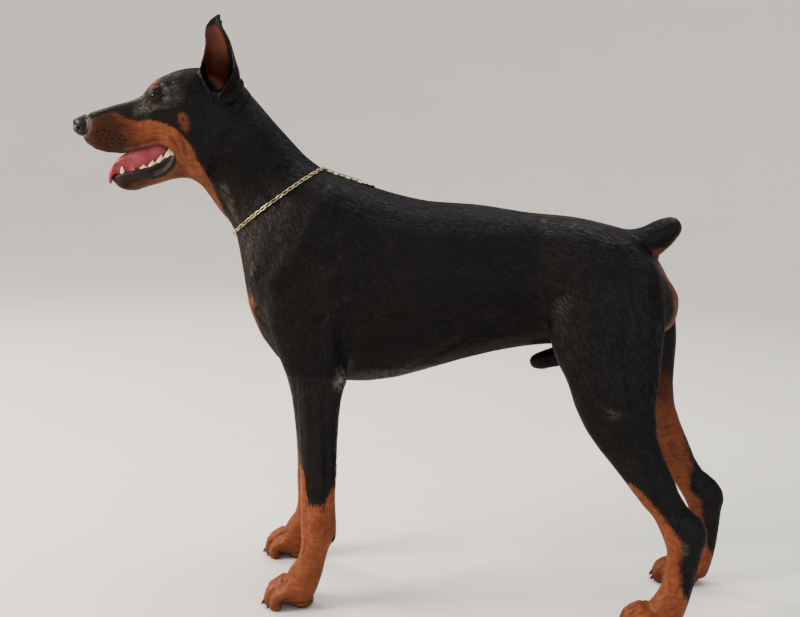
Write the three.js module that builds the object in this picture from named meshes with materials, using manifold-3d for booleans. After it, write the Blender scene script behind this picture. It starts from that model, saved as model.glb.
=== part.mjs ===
// A doberman pinscher, adult male, standing with its mouth open, at life size in millimetres.
// It faces -X, its left side is toward -Y, +Z is up and z = 0 is the floor.
import * as THREE from 'three';
import { mergeVertices } from 'three/addons/utils/BufferGeometryUtils.js';
import { LoftGeometry } from 'three/addons/geometries/LoftGeometry.js';
import Module from 'manifold-3d';

const wasm = await Module();
wasm.setup();

// Driving dimensions
const GAP = 0.3;
const SIDES = { left: -1, right: 1 };
const FORE_FOOT_OUT = 95;
const HIND_FOOT_OUT = 92;
const ELBOW_CUT = 404;
const FORE_PAW_CUT = 74;
const THIGH_CUT = 470;
const SHANK_CUT = 292;
const HIND_PAW_CUT = 66;
const EYE = { x: -401, out: 29, z: 828, radius: 11.2, lid: 13, turn: 0.4 };
const HEAD_TURN = { degrees: 15, pivotX: -230, from: 10, to: 92 };
const LINK = { pitch: 11, half: 4.8, wire: 1.5, crossing: 2.7 };
const COLLAR = { station: 0.2, away: 5.8, ring: 9, ringWire: 2, looseLinks: 5 };

// The right forefoot stands further forward, the right hind foot further back.
const FORE_STEP = { left: 0, right: -47 };
const HIND_STEP = {
  left: [[640, 0], [0, 0]],
  right: [[640, 0], [560, 18], [457, 46], [330, 54], [200, 53], [160, 61], [80, 70], [0, 75]],
};

// The look of a node goes by the first part of its name that is listed here.
const LOOKS = {
  eye: { color: 0x2b150b, roughness: 0.08, metalness: 0 },
  nose: { color: 0x1b1b1e, roughness: 0.3, metalness: 0 },
  tongue: { color: 0xc06a70, roughness: 0.35, metalness: 0 },
  chain: { color: 0xc9bd9c, roughness: 0.3, metalness: 1 },
  lower_jaw: { color: 0x8e461f, roughness: 0.55, metalness: 0 },
  front_paw: { color: 0x8a4520, roughness: 0.6, metalness: 0 },
  hind_paw: { color: 0x8a4520, roughness: 0.6, metalness: 0 },
  '': { color: 0x151417, roughness: 0.45, metalness: 0 },
};

const point = (x, y, z) => new THREE.Vector3(x, y, z);
const power = (value, exponent) => Math.sign(value) * Math.abs(value) ** exponent;

function toSolid(geometry) {
  const bare = new THREE.BufferGeometry();
  bare.setAttribute('position', geometry.getAttribute('position'));
  bare.setIndex(geometry.getIndex());
  const merged = mergeVertices(bare, 1e-3);
  return new wasm.Manifold(new wasm.Mesh({
    numProp: 3,
    vertProperties: new Float32Array(merged.attributes.position.array),
    triVerts: new Uint32Array(merged.index.array),
  }));
}

const join = (solids) => solids.reduce((whole, solid) => whole.add(solid));

function largest(solid) {
  const pieces = solid.decompose();
  return pieces.reduce((best, piece) => (piece.volume() > best.volume() ? piece : best));
}

// A value read off a short list of [position, value] steps, straight between them
function along(steps, position) {
  for (let i = 1; i < steps.length; i++) {
    const [p0, v0] = steps[i - 1];
    const [p1, v1] = steps[i];
    if ((position - p0) * (position - p1) <= 0) {
      return v0 + (v1 - v0) * (position - p0) / (p1 - p0);
    }
  }
  return position > steps[0][0] === steps[0][0] > steps.at(-1)[0] ? steps[0][1] : steps.at(-1)[1];
}

// Muscle and bone under the skin: how far each ridge or hollow lifts the surface at a point
function relief(ridges, p) {
  const here = point(p.x, Math.abs(p.y), p.z);
  let lift = 0;
  for (const { from, to = from, reach, rise } of ridges) {
    const start = point(...from);
    const line = new THREE.Line3(start, point(...to));
    const nearest = line.closestPointToPoint(here, true, new THREE.Vector3());
    lift += rise * Math.exp(-((here.distanceTo(nearest) / reach) ** 2));
  }
  return lift;
}

// A body lofted through rows. A row has the two edges that the side view shows, a and b,
// the half width across and where between b (0) and a (1) the widest place is, which is kept
// times WIDEST_SCALE so that the curve through the rows is as smooth in it as in the width.
const WIDEST_SCALE = 60;

class Flesh {
  constructor(rows, { sides, rings, roundA = 1, roundB = 1, ridges = [] }) {
    Object.assign(this, { sides, rings, roundA, roundB, ridges });
    this.a = new THREE.CatmullRomCurve3(rows.map((row) => row.a));
    this.b = new THREE.CatmullRomCurve3(rows.map((row) => row.b));
    this.shape = new THREE.CatmullRomCurve3(rows.map((row) => (
      point(row.half, WIDEST_SCALE * row.widest, 0))));
  }

  middle(t) {
    return this.b.getPoint(t).lerp(this.a.getPoint(t), this.shape.getPoint(t).y / WIDEST_SCALE);
  }

  section(t, grow = 0, sides = this.sides) {
    const a = this.a.getPoint(t);
    const b = this.b.getPoint(t);
    const centre = this.middle(t);
    const up = a.clone().sub(b).normalize();
    const half = this.shape.getPoint(t).x;
    const points = [];
    for (let i = 0; i < sides; i++) {
      const angle = 2 * Math.PI * i / sides;
      const upper = Math.cos(angle) >= 0;
      const round = upper ? this.roundA : this.roundB;
      const reach = (upper ? a : b).distanceTo(centre) * power(Math.cos(angle), round);
      const spot = centre.clone().addScaledVector(up, reach);
      spot.y += half * power(Math.sin(angle), round);
      const outward = spot.clone().sub(centre).normalize();
      points.push(spot.addScaledVector(outward, grow + relief(this.ridges, spot)));
    }
    const onward = this.middle(Math.min(1, t + 0.01)).sub(this.middle(Math.max(0, t - 0.01)));
    const turn = new THREE.Vector3().crossVectors(up, point(0, 1, 0)).dot(onward);
    return turn > 0 ? points : points.reverse();
  }

  solid(grow = 0) {
    const sections = [];
    for (let i = 0; i <= this.rings; i++) {
      sections.push(this.section(i / this.rings, grow));
    }
    return toSolid(new LoftGeometry(sections, { capStart: true, capEnd: true }));
  }
}

// A round rod along a bent line, thicker and thinner as its radii say, with rounded ends
const ROUND_ENDS = [[0.92, 0.4], [0.6, 0.8]];
const SHORT_ENDS = [[0.75, 0.6]];

function rod(points, radii, { sides = 8, steps = 6, ends = ROUND_ENDS } = {}) {
  const line = new THREE.CatmullRomCurve3(points.map((p) => point(...p)));
  const size = new THREE.CatmullRomCurve3(radii.map((r, i) => point(r, i, 0)));
  const sections = [];
  const ring = (centre, tangent, radius) => {
    const across = new THREE.Vector3().crossVectors(tangent, point(0, 0.02, 1)).normalize();
    const over = new THREE.Vector3().crossVectors(across, tangent);
    const loop = [];
    for (let i = 0; i < sides; i++) {
      const angle = 2 * Math.PI * i / sides;
      loop.push(centre.clone()
        .addScaledVector(over, radius * Math.cos(angle))
        .addScaledVector(across, radius * Math.sin(angle)));
    }
    sections.push(loop);
  };
  const first = line.getTangent(0);
  const last = line.getTangent(1);
  for (const [far, wide] of ends) {
    ring(line.getPoint(0).addScaledVector(first, -far * radii[0]), first, wide * radii[0]);
  }
  for (let i = 0; i <= steps; i++) {
    ring(line.getPoint(i / steps), line.getTangent(i / steps), size.getPoint(i / steps).x);
  }
  for (const [far, wide] of ends.toReversed()) {
    ring(line.getPoint(1).addScaledVector(last, far * radii.at(-1)), last, wide * radii.at(-1));
  }
  return toSolid(new LoftGeometry(sections, { capStart: true, capEnd: true }));
}

function ellipsoid(centre, radii, { turn = [0, 0, 0], around = 12, down = 8 } = {}) {
  const geometry = new THREE.SphereGeometry(1, around, down);
  geometry.rotateX(Math.PI / 2);
  geometry.scale(...radii);
  geometry.applyMatrix4(new THREE.Matrix4().makeRotationFromEuler(new THREE.Euler(...turn)));
  geometry.translate(...centre);
  return toSolid(geometry);
}

// A spike such as a tooth or a claw, from its root to its tip
function spike(root, tip, radius, sides = 6, thin = 1) {
  const from = point(...root);
  const way = point(...tip).sub(from);
  const geometry = new THREE.ConeGeometry(radius, way.length(), sides, 1);
  geometry.translate(0, way.length() / 2, 0);
  geometry.scale(1, 1, thin);
  const turn = new THREE.Quaternion().setFromUnitVectors(point(0, 1, 0), way.clone().normalize());
  geometry.applyQuaternion(turn);
  geometry.translate(from.x, from.y, from.z);
  return toSolid(geometry);
}

// A slab from a side-view outline, right across the body
function slab(outline, halfWidth) {
  const shape = new THREE.Shape(outline.map(([x, z]) => new THREE.Vector2(x, z)));
  const geometry = new THREE.ExtrudeGeometry(shape, { depth: 2 * halfWidth, bevelEnabled: false });
  geometry.rotateX(Math.PI / 2);
  geometry.translate(0, halfWidth, 0);
  return toSolid(geometry);
}

// Keeps what lies on one side of a plane across the body, given by two points of its side view.
// The side kept is on the left of the way from the first to the second point.
function keepLeft(solid, [x0, z0], [x1, z1], clearance) {
  const length = Math.hypot(x1 - x0, z1 - z0);
  const normal = [-(z1 - z0) / length, 0, (x1 - x0) / length];
  const offset = normal[0] * x0 + normal[2] * z0 + clearance;
  return solid.trimByPlane(normal, offset);
}

const below = (solid, z) => solid.trimByPlane([0, 0, -1], -z);
const above = (solid, z) => solid.trimByPlane([0, 0, 1], z);

const row = ([ax, az, bx, bz, half, widest = 0.5]) => (
  { a: point(ax, 0, az), b: point(bx, 0, bz), half, widest });

// Neck and trunk, from inside the skull to the buttocks
const TRUNK_RIDGES = [
  { from: [-112, 62, 672], to: [-222, 92, 540], reach: 40, rise: 7 },
  { from: [-222, 84, 540], to: [-118, 98, 428], reach: 34, rise: 6 },
  { from: [-96, 92, 590], to: [-92, 96, 440], reach: 34, rise: 8 },
  { from: [-300, 40, 800], to: [-245, 76, 600], reach: 24, rise: 4 },
  { from: [-42, 112, 600], to: [-38, 96, 440], reach: 26, rise: -5 },
  { from: [-170, 60, 640], to: [-240, 62, 560], reach: 16, rise: -3 },
  { from: [205, 84, 600], to: [222, 74, 490], reach: 34, rise: -5 },
  { from: [280, 70, 625], to: [345, 84, 560], reach: 46, rise: 9 },
  { from: [262, 80, 560], to: [330, 96, 500], reach: 46, rise: 9 },
  { from: [40, 0, 680], to: [330, 0, 650], reach: 10, rise: -2 },
];
const trunk = new Flesh([
  [-296, 866, -362, 712, 40],
  [-258, 837, -328, 679, 49],
  [-212, 786, -306, 644, 57],
  [-146, 720, -285, 621, 74],
  [-100, 704, -271, 560, 92],
  [-58, 692, -254, 466, 101, 0.52],
  [-16, 681, -200, 389, 105, 0.54],
  [28, 672, -104, 365, 108, 0.56],
  [70, 670, -12, 375, 107, 0.56],
  [122, 668, 88, 409, 98, 0.55],
  [190, 658, 186, 436, 86, 0.55],
  [250, 653, 262, 446, 84, 0.56],
  [306, 644, 344, 452, 84, 0.58],
  [354, 632, 408, 462, 72, 0.58],
  [386, 608, 434, 480, 50],
  [404, 584, 441, 502, 30],
  [414, 568, 442, 530, 13],
].map(row), { sides: 22, rings: 30, roundA: 0.95, roundB: 1.1, ridges: TRUNK_RIDGES });

// Skull, cheeks and upper muzzle
const HEAD_RIDGES = [
  { from: [-418, 42, 808], to: [-352, 60, 806], reach: 14, rise: 3 },
  { from: [-418, 22, 843], to: [-396, 38, 853], reach: 9, rise: 3.5 },
  { from: [-406, 46, 828], reach: 12, rise: -2 },
  { from: [-362, 42, 846], to: [-310, 44, 846], reach: 15, rise: 3 },
  { from: [-374, 52, 838], reach: 10, rise: -2 },
  { from: [-422, 0, 836], to: [-392, 0, 862], reach: 7, rise: -3 },
  { from: [-368, 50, 760], to: [-342, 54, 722], reach: 22, rise: 4 },
  { from: [-498, 23, 756], to: [-440, 32, 750], reach: 9, rise: 2 },
  { from: [-446, 34, 790], to: [-424, 38, 792], reach: 14, rise: -2.5 },
  { from: [-380, 50, 776], to: [-370, 54, 742], reach: 8, rise: -2.5 },
];
const head = new Flesh([
  [-521, 788, -518, 762, 13],
  [-515, 797, -511, 751, 21],
  [-498, 803.5, -496, 743, 26],
  [-470, 813, -468, 737, 29],
  [-440, 821.5, -440, 737, 32.5],
  [-425, 830, -422, 742, 37, 0.45],
  [-405, 853, -398, 745, 44, 0.5],
  [-384, 864, -374, 715, 51, 0.55],
  [-356, 872.5, -350, 698, 57, 0.6],
  [-324, 874, -318, 686, 56, 0.6],
  [-292, 866, -296, 690, 50, 0.58],
  [-264, 846, -284, 706, 43],
  [-238, 811, -268, 724, 37],
].map(row), { sides: 26, rings: 30, roundA: 0.82, roundB: 0.86, ridges: HEAD_RIDGES });

const mandible = new Flesh([
  [-474, 703, -472, 691, 9],
  [-465, 712, -460, 682, 18],
  [-442, 712, -440, 680, 21],
  [-420, 714, -420, 687, 25],
  [-398, 724, -398, 693, 32],
  [-378, 742, -380, 699, 37],
  [-350, 740, -352, 702, 35],
].map(row), { sides: 16, rings: 11, roundA: 0.75, roundB: 0.85 });

// The mouth seen from the side: lower lip, the corner behind, upper lip
const MOUTH = [
  [-620, 690], [-482, 696], [-468, 705], [-445, 709], [-409, 707], [-391, 713], [-380, 725],
  [-374, 738], [-380, 750], [-396, 753], [-425, 745], [-455, 737.5], [-478, 738.5], [-498, 743.5],
  [-511, 754], [-518, 765], [-620, 768],
];
const mouthCuts = () => join([
  slab(MOUTH, 80),
  ellipsoid([-448, 0, 748], [66, 22, 13]),
  ellipsoid([-384, 0, 735], [36, 28, 17]),
  ellipsoid([-418, 0, 710], [42, 15, 9]),
]);

// Teeth stand in two rows a side, each [x, height, length of the crown].
const UPPER_TEETH = {
  gum: [[-515, 760], [-490, 757], [-430, 757], [-385, 762]],
  out: [[-515, 12], [-495, 19], [-430, 26], [-385, 32]],
  teeth: [[-499, 10, 8], [-472, 7, 9], [-440, 10, 13], [-421, 9, 14], [-404, 13, 14],
    [-390, 12, 10]],
};
const LOWER_TEETH = {
  gum: [[-466, 702], [-452, 708], [-418, 713], [-399, 722], [-383, 733]],
  out: [[-466, 6], [-456, 13], [-425, 19], [-385, 27]],
  teeth: [[-464, 8, 5], [-458, 16, 8], [-440, 7, 6], [-428, 12, 9], [-416, 14, 11],
    [-401, 14, 14], [-388, 9, 10]],
};

function toothRow({ gum, out, teeth }, side, way) {
  return teeth.map(([x, height, crown]) => {
    const y = side * along(out, x);
    const z = along(gum, x);
    const root = [x, y, z - way * 6];
    return spike(root, [x + 2, y, z + way * height], crown * 0.62, 5, 0.62);
  });
}

// Eyes and lids
function eyeSpot(side, deeper = 0) {
  return [EYE.x, side * (EYE.out - deeper), EYE.z];
}
function lids(side) {
  const shell = ellipsoid(eyeSpot(side), [EYE.lid, EYE.lid, EYE.lid], { around: 14, down: 10 });
  const slit = ellipsoid(
    [EYE.x - EYE.lid * Math.sin(EYE.turn), side * (EYE.out + EYE.lid * Math.cos(EYE.turn)), EYE.z],
    [11.5, 9, 6], { turn: [0, 0.2, side * EYE.turn], around: 12, down: 6 },
  );
  return { shell, slit };
}
const eyeball = (side, grow = 0) => ellipsoid(
  eyeSpot(side), [EYE.radius + grow, EYE.radius + grow, EYE.radius + grow], { around: 12, down: 8 });

// Ears: cropped, upright, rolled into a cup that opens outward and a little forward.
// Each step is [height, middle x, width, how far round the cup goes in degrees, thickness,
// how far out from the middle of the head its lips are].
const EAR_STEPS = [
  [820, -309, 20, 320, 9, 54],
  [833, -309, 42, 320, 17, 60],
  [849, -308, 58, 285, 7, 62],
  [866, -307, 61, 238, 5, 59],
  [882, -305, 53, 196, 4.2, 55],
  [904, -303.5, 43, 150, 3.4, 51],
  [922, -307, 36, 112, 3, 50],
  [939, -310, 22, 84, 2.4, 49],
  [953, -302, 4, 60, 1.6, 47],
];
const EAR_TURN = 0.3;
const earHollow = (side) => ellipsoid([-308, side * 56, 862], [21, 20, 26], { around: 10, down: 6 });

function ear(side) {
  const lips = new THREE.CatmullRomCurve3(EAR_STEPS.map(([z, x, , , , out]) => point(x, side * out, z)));
  const sizes = new THREE.CatmullRomCurve3(EAR_STEPS.map(([, , w, a, t]) => point(w, a, 10 * t)));
  const rings = 12;
  const arc = 7;
  const opens = point(-Math.sin(EAR_TURN), side * Math.cos(EAR_TURN), 0);
  const chord = point(Math.cos(EAR_TURN), side * Math.sin(EAR_TURN), 0);
  const sections = [];
  for (let i = 0; i <= rings; i++) {
    const size = sizes.getPoint(i / rings);
    const half = THREE.MathUtils.degToRad(size.y) / 2;
    const radius = size.x / 2 / Math.sin(Math.min(half, Math.PI / 2));
    const centre = lips.getPoint(i / rings).addScaledVector(opens, radius * Math.cos(half));
    const loop = [];
    const spot = (angle, r) => centre.clone()
      .addScaledVector(chord, r * Math.sin(angle))
      .addScaledVector(opens, -r * Math.cos(angle));
    for (let k = 0; k <= arc; k++) {
      loop.push(spot(half * (2 * k / arc - 1), radius));
    }
    for (let k = arc; k >= 0; k--) {
      const edge = 1 - 0.6 * Math.abs(2 * k / arc - 1) ** 4;
      const inner = radius - Math.min(size.z / 10 * edge, 0.8 * radius);
      loop.push(spot(half * 0.96 * (2 * k / arc - 1), inner));
    }
    sections.push(side > 0 ? loop : loop.reverse());
  }
  return toSolid(new LoftGeometry(sections, { capStart: true, capEnd: true }));
}

// Nose leather with comma-shaped nostrils and the groove between them
function noseTip() {
  const leather = new Flesh([
    [-530, 785, -528, 773, 9],
    [-527, 789.5, -524, 768, 15],
    [-520, 793, -516, 764.5, 19],
    [-511, 797, -504, 764, 19.5],
    [-503, 799.5, -496, 764, 19],
  ].map(row), { sides: 14, rings: 6, roundA: 0.8, roundB: 0.9 }).solid();
  const holes = Object.values(SIDES).flatMap((side) => [
    ellipsoid([-527, side * 8.5, 780], [8, 4, 4.6],
      { turn: [0, 0.3, side * 0.35], around: 7, down: 4 }),
    ellipsoid([-521, side * 17, 776], [9, 3.6, 1.9],
      { turn: [0, -0.2, side * 0.7], around: 6, down: 4 }),
  ]);
  const groove = ellipsoid([-530, 0, 770], [4.5, 0.9, 9], { around: 6, down: 4 });
  return leather.subtract(join([...holes, groove]));
}

// Tongue: broad and thin, hanging over the lower front teeth
const tongue = new Flesh([
  [-482, 691, -477, 689, 8],
  [-482, 703, -474, 700, 14],
  [-476, 718, -468, 709, 18],
  [-462, 730, -459, 719, 20],
  [-440, 738, -438, 714, 17],
  [-418, 744, -414, 713, 16],
  [-398, 749, -394, 716, 15],
  [-378, 749, -374, 722, 13],
].map(row), {
  sides: 12,
  rings: 12,
  ridges: [{ from: [-470, 0, 726], to: [-400, 0, 749], reach: 4, rise: -1.6 }],
});

// Legs. Each row is [height, front edge, rear edge, out from the middle, half width].
function legRows(list, side, shift) {
  return list.map(([z, front, rear, out, half, widest = 0.5]) => {
    const dx = along(shift, z);
    return {
      a: point(front + dx, side * out, z), b: point(rear + dx, side * out, z), half, widest,
    };
  });
}

const FORE_ROWS = [
  [622, -160, -112, 58, 14],
  [592, -188, -94, 68, 23],
  [550, -208, -84, 75, 28],
  [500, -216, -80, 79, 31],
  [450, -204, -79, 80, 32],
  [408, -186, -79, 82, 31],
  [370, -172, -87, 85, 29],
  [325, -164.5, -93, 88, 27],
  [265, -157.5, -96, 91, 24.5],
  [205, -154, -97, 93, 22.5],
  [172, -153.5, -96.5, 94, 23.5],
  [146, -153, -95, 94, 24],
  [124, -153, -96, 94, 22.5],
  [108, -153.5, -106, 94, 20],
  [84, -158.5, -112.5, 95, 20],
  [60, -176, -118, 95, 24],
  [34, -184, -126, 95, 27],
  [16, -180, -134, 95, 24],
];
const HIND_ROWS = [
  [612, 306, 368, 44, 15],
  [592, 274, 394, 52, 31],
  [556, 242, 410, 63, 41],
  [505, 230, 413, 71, 44],
  [455, 239, 409, 77, 42],
  [400, 268, 406, 85, 36],
  [345, 288, 404, 89, 31],
  [300, 319, 417, 91, 27.5],
  [250, 361, 441, 92, 22],
  [215, 388, 459, 92, 19],
  [190, 411, 487, 92, 18.5],
  [166, 423, 498, 92, 19.5],
  [140, 434, 490, 92, 19],
  [112, 435.5, 486, 92, 17.5],
  [80, 431, 480, 92, 18],
  [52, 418, 474, 92, 23],
  [30, 402, 468, 92, 25],
  [15, 400, 462, 92, 22],
];
const FORE_RIDGES = [
  { from: [-150, 108, 395], to: [-132, 112, 300], reach: 22, rise: 3 },
  { from: [-92, 95, 400], reach: 16, rise: 2 },
  { from: [-150, 95, 150], reach: 12, rise: 2 },
  { from: [-108, 112, 330], to: [-104, 110, 200], reach: 9, rise: -2.5 },
];
const HIND_RIDGES = [
  { from: [262, 118, 440], to: [290, 122, 370], reach: 30, rise: 4 },
  { from: [380, 108, 520], to: [382, 112, 380], reach: 30, rise: 5 },
  { from: [330, 118, 400], to: [400, 110, 270], reach: 20, rise: 3 },
  { from: [420, 106, 250], to: [470, 104, 205], reach: 9, rise: -4 },
  { from: [448, 110, 168], reach: 12, rise: 2 },
];

function shifted(ridges, shift) {
  return ridges.map(({ from, to = from, ...rest }) => {
    const move = ([x, y, z]) => [x + along(shift, z), y, z];
    return { from: move(from), to: move(to), ...rest };
  });
}

function foreLeg(name) {
  const shift = [[640, FORE_STEP[name] * 0.4], [420, FORE_STEP[name]], [0, FORE_STEP[name]]];
  return new Flesh(legRows(FORE_ROWS, SIDES[name], shift), {
    sides: 14, rings: 22, roundA: 0.9, roundB: 0.95, ridges: shifted(FORE_RIDGES, shift),
  });
}
function hindLeg(name) {
  const shift = HIND_STEP[name];
  return new Flesh(legRows(HIND_ROWS, SIDES[name], shift), {
    sides: 14, rings: 24, roundA: 0.95, roundB: 1, ridges: shifted(HIND_RIDGES, shift),
  });
}

// Paws: four arched toes with a claw each, a pad under each toe and a broad one behind.
// A toe is [out from the middle of the paw, how far its tip lies back, knuckle height].
const TOES = [[-23, 14, 31], [-8.5, 1, 38], [9, 0, 38], [23.5, 11, 32]];

function paw(centre, side, { length, height, turn }) {
  const solids = [];
  const heel = length / 2;
  for (const [out, back, knuckle] of TOES) {
    const y = side * out;
    const tip = back - heel + 11;
    const high = knuckle * height;
    solids.push(rod(
      [[tip + 50, y * 0.6, high * 0.8], [tip + 27, y * 0.9, high], [tip + 9, y, high * 0.68],
        [tip + 4, y, 12.5]],
      [11, 11.5, 10.5, 9], { sides: 6, steps: 3, ends: SHORT_ENDS },
    ));
    solids.push(ellipsoid([tip + 7, y, 6.2], [11.5, 8.6, 7.2], { around: 7, down: 4 }));
    solids.push(spike([tip + 5, y, 17], [tip - 11, y * 1.02, 4.5], 4.4, 4, 0.8));
  }
  solids.push(ellipsoid([heel - 25, 0, 9.5], [21, 23, 10.5], { around: 9, down: 4 }));
  solids.push(ellipsoid([2, 0, 24 * height], [39, 28, 20 * height], { around: 10, down: 6 }));
  const placed = join(solids).rotate([0, 0, side * turn]).translate(centre);
  return above(placed, 0);
}

const PAWS = {
  fore: { length: 95, height: 1.1, turn: -5 },
  hind: { length: 92, height: 0.94, turn: -4 },
};
const foreFoot = (name) => [-174.5 + FORE_STEP[name], SIDES[name] * FORE_FOOT_OUT, 0];
const hindFoot = (name) => [407 + along(HIND_STEP[name], 0), SIDES[name] * HIND_FOOT_OUT, 0];

// Chain collar: a body along a line, four corners round, that is drawn out wide in one pair of
// corners for one link and in the other pair for the next, and narrow where two links cross
const LINK_STEPS = [[0, 0], [0.5, 1]];

function linkRow(count, spotAt, wayAt) {
  const sections = [];
  for (let i = 0; i < count; i++) {
    for (const [step, wide] of LINK_STEPS) {
      const u = (i + step) / count;
      const across = new THREE.Vector3().crossVectors(wayAt(u), point(0, 0, 1)).normalize();
      const over = new THREE.Vector3().crossVectors(across, wayAt(u));
      const loop = [];
      for (let corner = 0; corner < 4; corner++) {
        const inLink = corner % 2 === i % 2 ? LINK.half : LINK.wire;
        const reach = THREE.MathUtils.lerp(LINK.crossing, inLink, wide);
        const angle = (corner + 0.5) * Math.PI / 2;
        loop.push(spotAt(u)
          .addScaledVector(across, reach * Math.sin(angle))
          .addScaledVector(over, reach * Math.cos(angle)));
      }
      sections.push(loop);
    }
  }
  return sections;
}

// How far along the trunk its upper edge passes a given x
function nearestStation(x) {
  let low = COLLAR.station;
  let high = 0.6;
  while (high - low > 1e-4) {
    const half = (low + high) / 2;
    if (trunk.a.getPoint(half).x < x) {
      low = half;
    } else {
      high = half;
    }
  }
  return low;
}

// The loop round the neck, and the loose end with its ring laid along the withers
function chain() {
  const loop = new THREE.CatmullRomCurve3(trunk.section(COLLAR.station, COLLAR.away, 40), true);
  const count = 2 * Math.round(loop.getLength() / LINK.pitch / 2);
  const round = linkRow(count, (u) => loop.getPointAt(u), (u) => loop.getTangentAt(u));
  const band = toSolid(new LoftGeometry([...round, round[0]]));

  const start = trunk.a.getPoint(COLLAR.station).x + 2;
  const lies = [0, 1, 2, 3].map((part) => {
    const x = start + part * COLLAR.looseLinks * LINK.pitch / 3;
    return trunk.a.getPoint(nearestStation(x)).add(point(0, 0, COLLAR.away));
  });
  const back = new THREE.CatmullRomCurve3(lies);
  const loose = linkRow(COLLAR.looseLinks, (u) => back.getPointAt(u), (u) => back.getTangentAt(u));
  const looseEnd = toSolid(new LoftGeometry(loose, { capStart: true, capEnd: true }));

  const ring = new THREE.TorusGeometry(COLLAR.ring, COLLAR.ringWire, 5, 12);
  const way = back.getTangent(1);
  ring.rotateY(-Math.atan2(way.z, way.x));
  const ringSpot = back.getPoint(1).addScaledVector(way, COLLAR.ring - LINK.pitch / 2);
  ring.translate(ringSpot.x, ringSpot.y, ringSpot.z);
  return join([band, looseEnd, toSolid(ring)]);
}

// The whole neck, trunk and head before parting
const names = Object.keys(SIDES);
const fore = Object.fromEntries(names.map((name) => [name, foreLeg(name)]));
const hind = Object.fromEntries(names.map((name) => [name, hindLeg(name)]));

const sheath = rod([[222, 0, 413], [262, 0, 426], [330, 0, 445]], [14, 18, 19], { sides: 10 });
const purse = ellipsoid([390, 0, 444], [22, 18, 32], { turn: [0, 0.3, 0] });
const tailDock = (grow) => rod([[352, 0, 600], [384, 0, 612], [410, 0, 631], [420, 0, 638]],
  [34, 28, 23, 19].map((radius) => radius + grow), { sides: 12, steps: 6 });

function headSolid() {
  const parts = [head.solid(), mandible.solid()];
  let whole = join(parts).subtract(mouthCuts());
  for (const side of Object.values(SIDES)) {
    const { shell, slit } = lids(side);
    whole = whole.add(shell).subtract(join([slit, eyeball(side, GAP), earHollow(side)]));
  }
  const grown = names.flatMap((name) => [
    ...toothRow(UPPER_TEETH, SIDES[name], -1), ...toothRow(LOWER_TEETH, SIDES[name], 1)]);
  return join([whole, ...grown]);
}

// Cuts: nape to throat, along the chain, and between the jaws behind the corner of the mouth
const NAPE_CUT = [[-250, 850], [-343, 677]];
const NECK_CUT = [[-118, 722], [-292, 606]];
const TAIL_CUT = [[356, 664], [412, 566]];

const skull = headSolid();
const neckAndTrunk = trunk.solid();

// Where the nose leather sits, from above down to the front of the upper lip
const noseRegion = (grow) => slab([
  [-620, 765 - grow], [-508 + grow, 765 - grow], [-512 + grow, 812], [-512 + grow, 900], [-620, 900],
], 60);

const headNode = keepLeft(skull, NAPE_CUT[1], NAPE_CUT[0], GAP / 2).subtract(noseRegion(GAP));
const jawRegion = (grow) => slab([
  [-620, 600], [-620, 728 + grow], [-376 + grow, 740 + grow], [-346 + grow, 676], [-340 + grow, 600],
], 90);

const parts = {};
const roundTongue = headNode.subtract(tongue.solid(GAP));
parts.lower_jaw = largest(roundTongue.intersect(jawRegion(0)));
parts.head = largest(roundTongue.subtract(jawRegion(GAP)));
parts.nose = largest(noseTip().intersect(noseRegion(0)));
parts.tongue = tongue.solid();

let neck = keepLeft(neckAndTrunk, NAPE_CUT[0], NAPE_CUT[1], GAP / 2);
neck = keepLeft(neck, NECK_CUT[1], NECK_CUT[0], GAP / 2);
parts.neck = largest(neck);

let torso = keepLeft(neckAndTrunk, NECK_CUT[0], NECK_CUT[1], GAP / 2);
torso = join([torso, sheath, purse,
  ...names.map((name) => above(fore[name].solid(), ELBOW_CUT - 20)),
  ...names.map((name) => above(hind[name].solid(), THIGH_CUT - 20))]);
for (const name of names) {
  torso = torso.subtract(below(fore[name].solid(GAP), ELBOW_CUT + GAP));
  torso = torso.subtract(below(hind[name].solid(GAP), THIGH_CUT + GAP));
}
torso = join([torso, keepLeft(tailDock(0), TAIL_CUT[1], TAIL_CUT[0], 0)]);
parts.torso = largest(torso.subtract(keepLeft(tailDock(GAP), TAIL_CUT[0], TAIL_CUT[1], 0)));
parts.tail = largest(keepLeft(tailDock(0), TAIL_CUT[0], TAIL_CUT[1], GAP));

parts.chain_collar = chain();

for (const name of names) {
  const side = SIDES[name];
  parts[`eye_${name}`] = eyeball(side);
  parts[`ear_${name}`] = largest(ear(side).subtract(head.solid(GAP)));
  const foreWhole = join([fore[name].solid(), paw(foreFoot(name), side, PAWS.fore)]);
  parts[`front_leg_${name}`] = largest(above(below(foreWhole, ELBOW_CUT), FORE_PAW_CUT + GAP));
  parts[`front_paw_${name}`] = largest(above(below(foreWhole, FORE_PAW_CUT), 0));
  const hindWhole = join([hind[name].solid(), paw(hindFoot(name), side, PAWS.hind)]);
  parts[`hind_thigh_${name}`] = largest(above(below(hindWhole, THIGH_CUT), SHANK_CUT + GAP));
  parts[`hind_shank_${name}`] = largest(above(below(hindWhole, SHANK_CUT), HIND_PAW_CUT + GAP));
  parts[`hind_paw_${name}`] = largest(above(below(hindWhole, HIND_PAW_CUT), 0));
}

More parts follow.
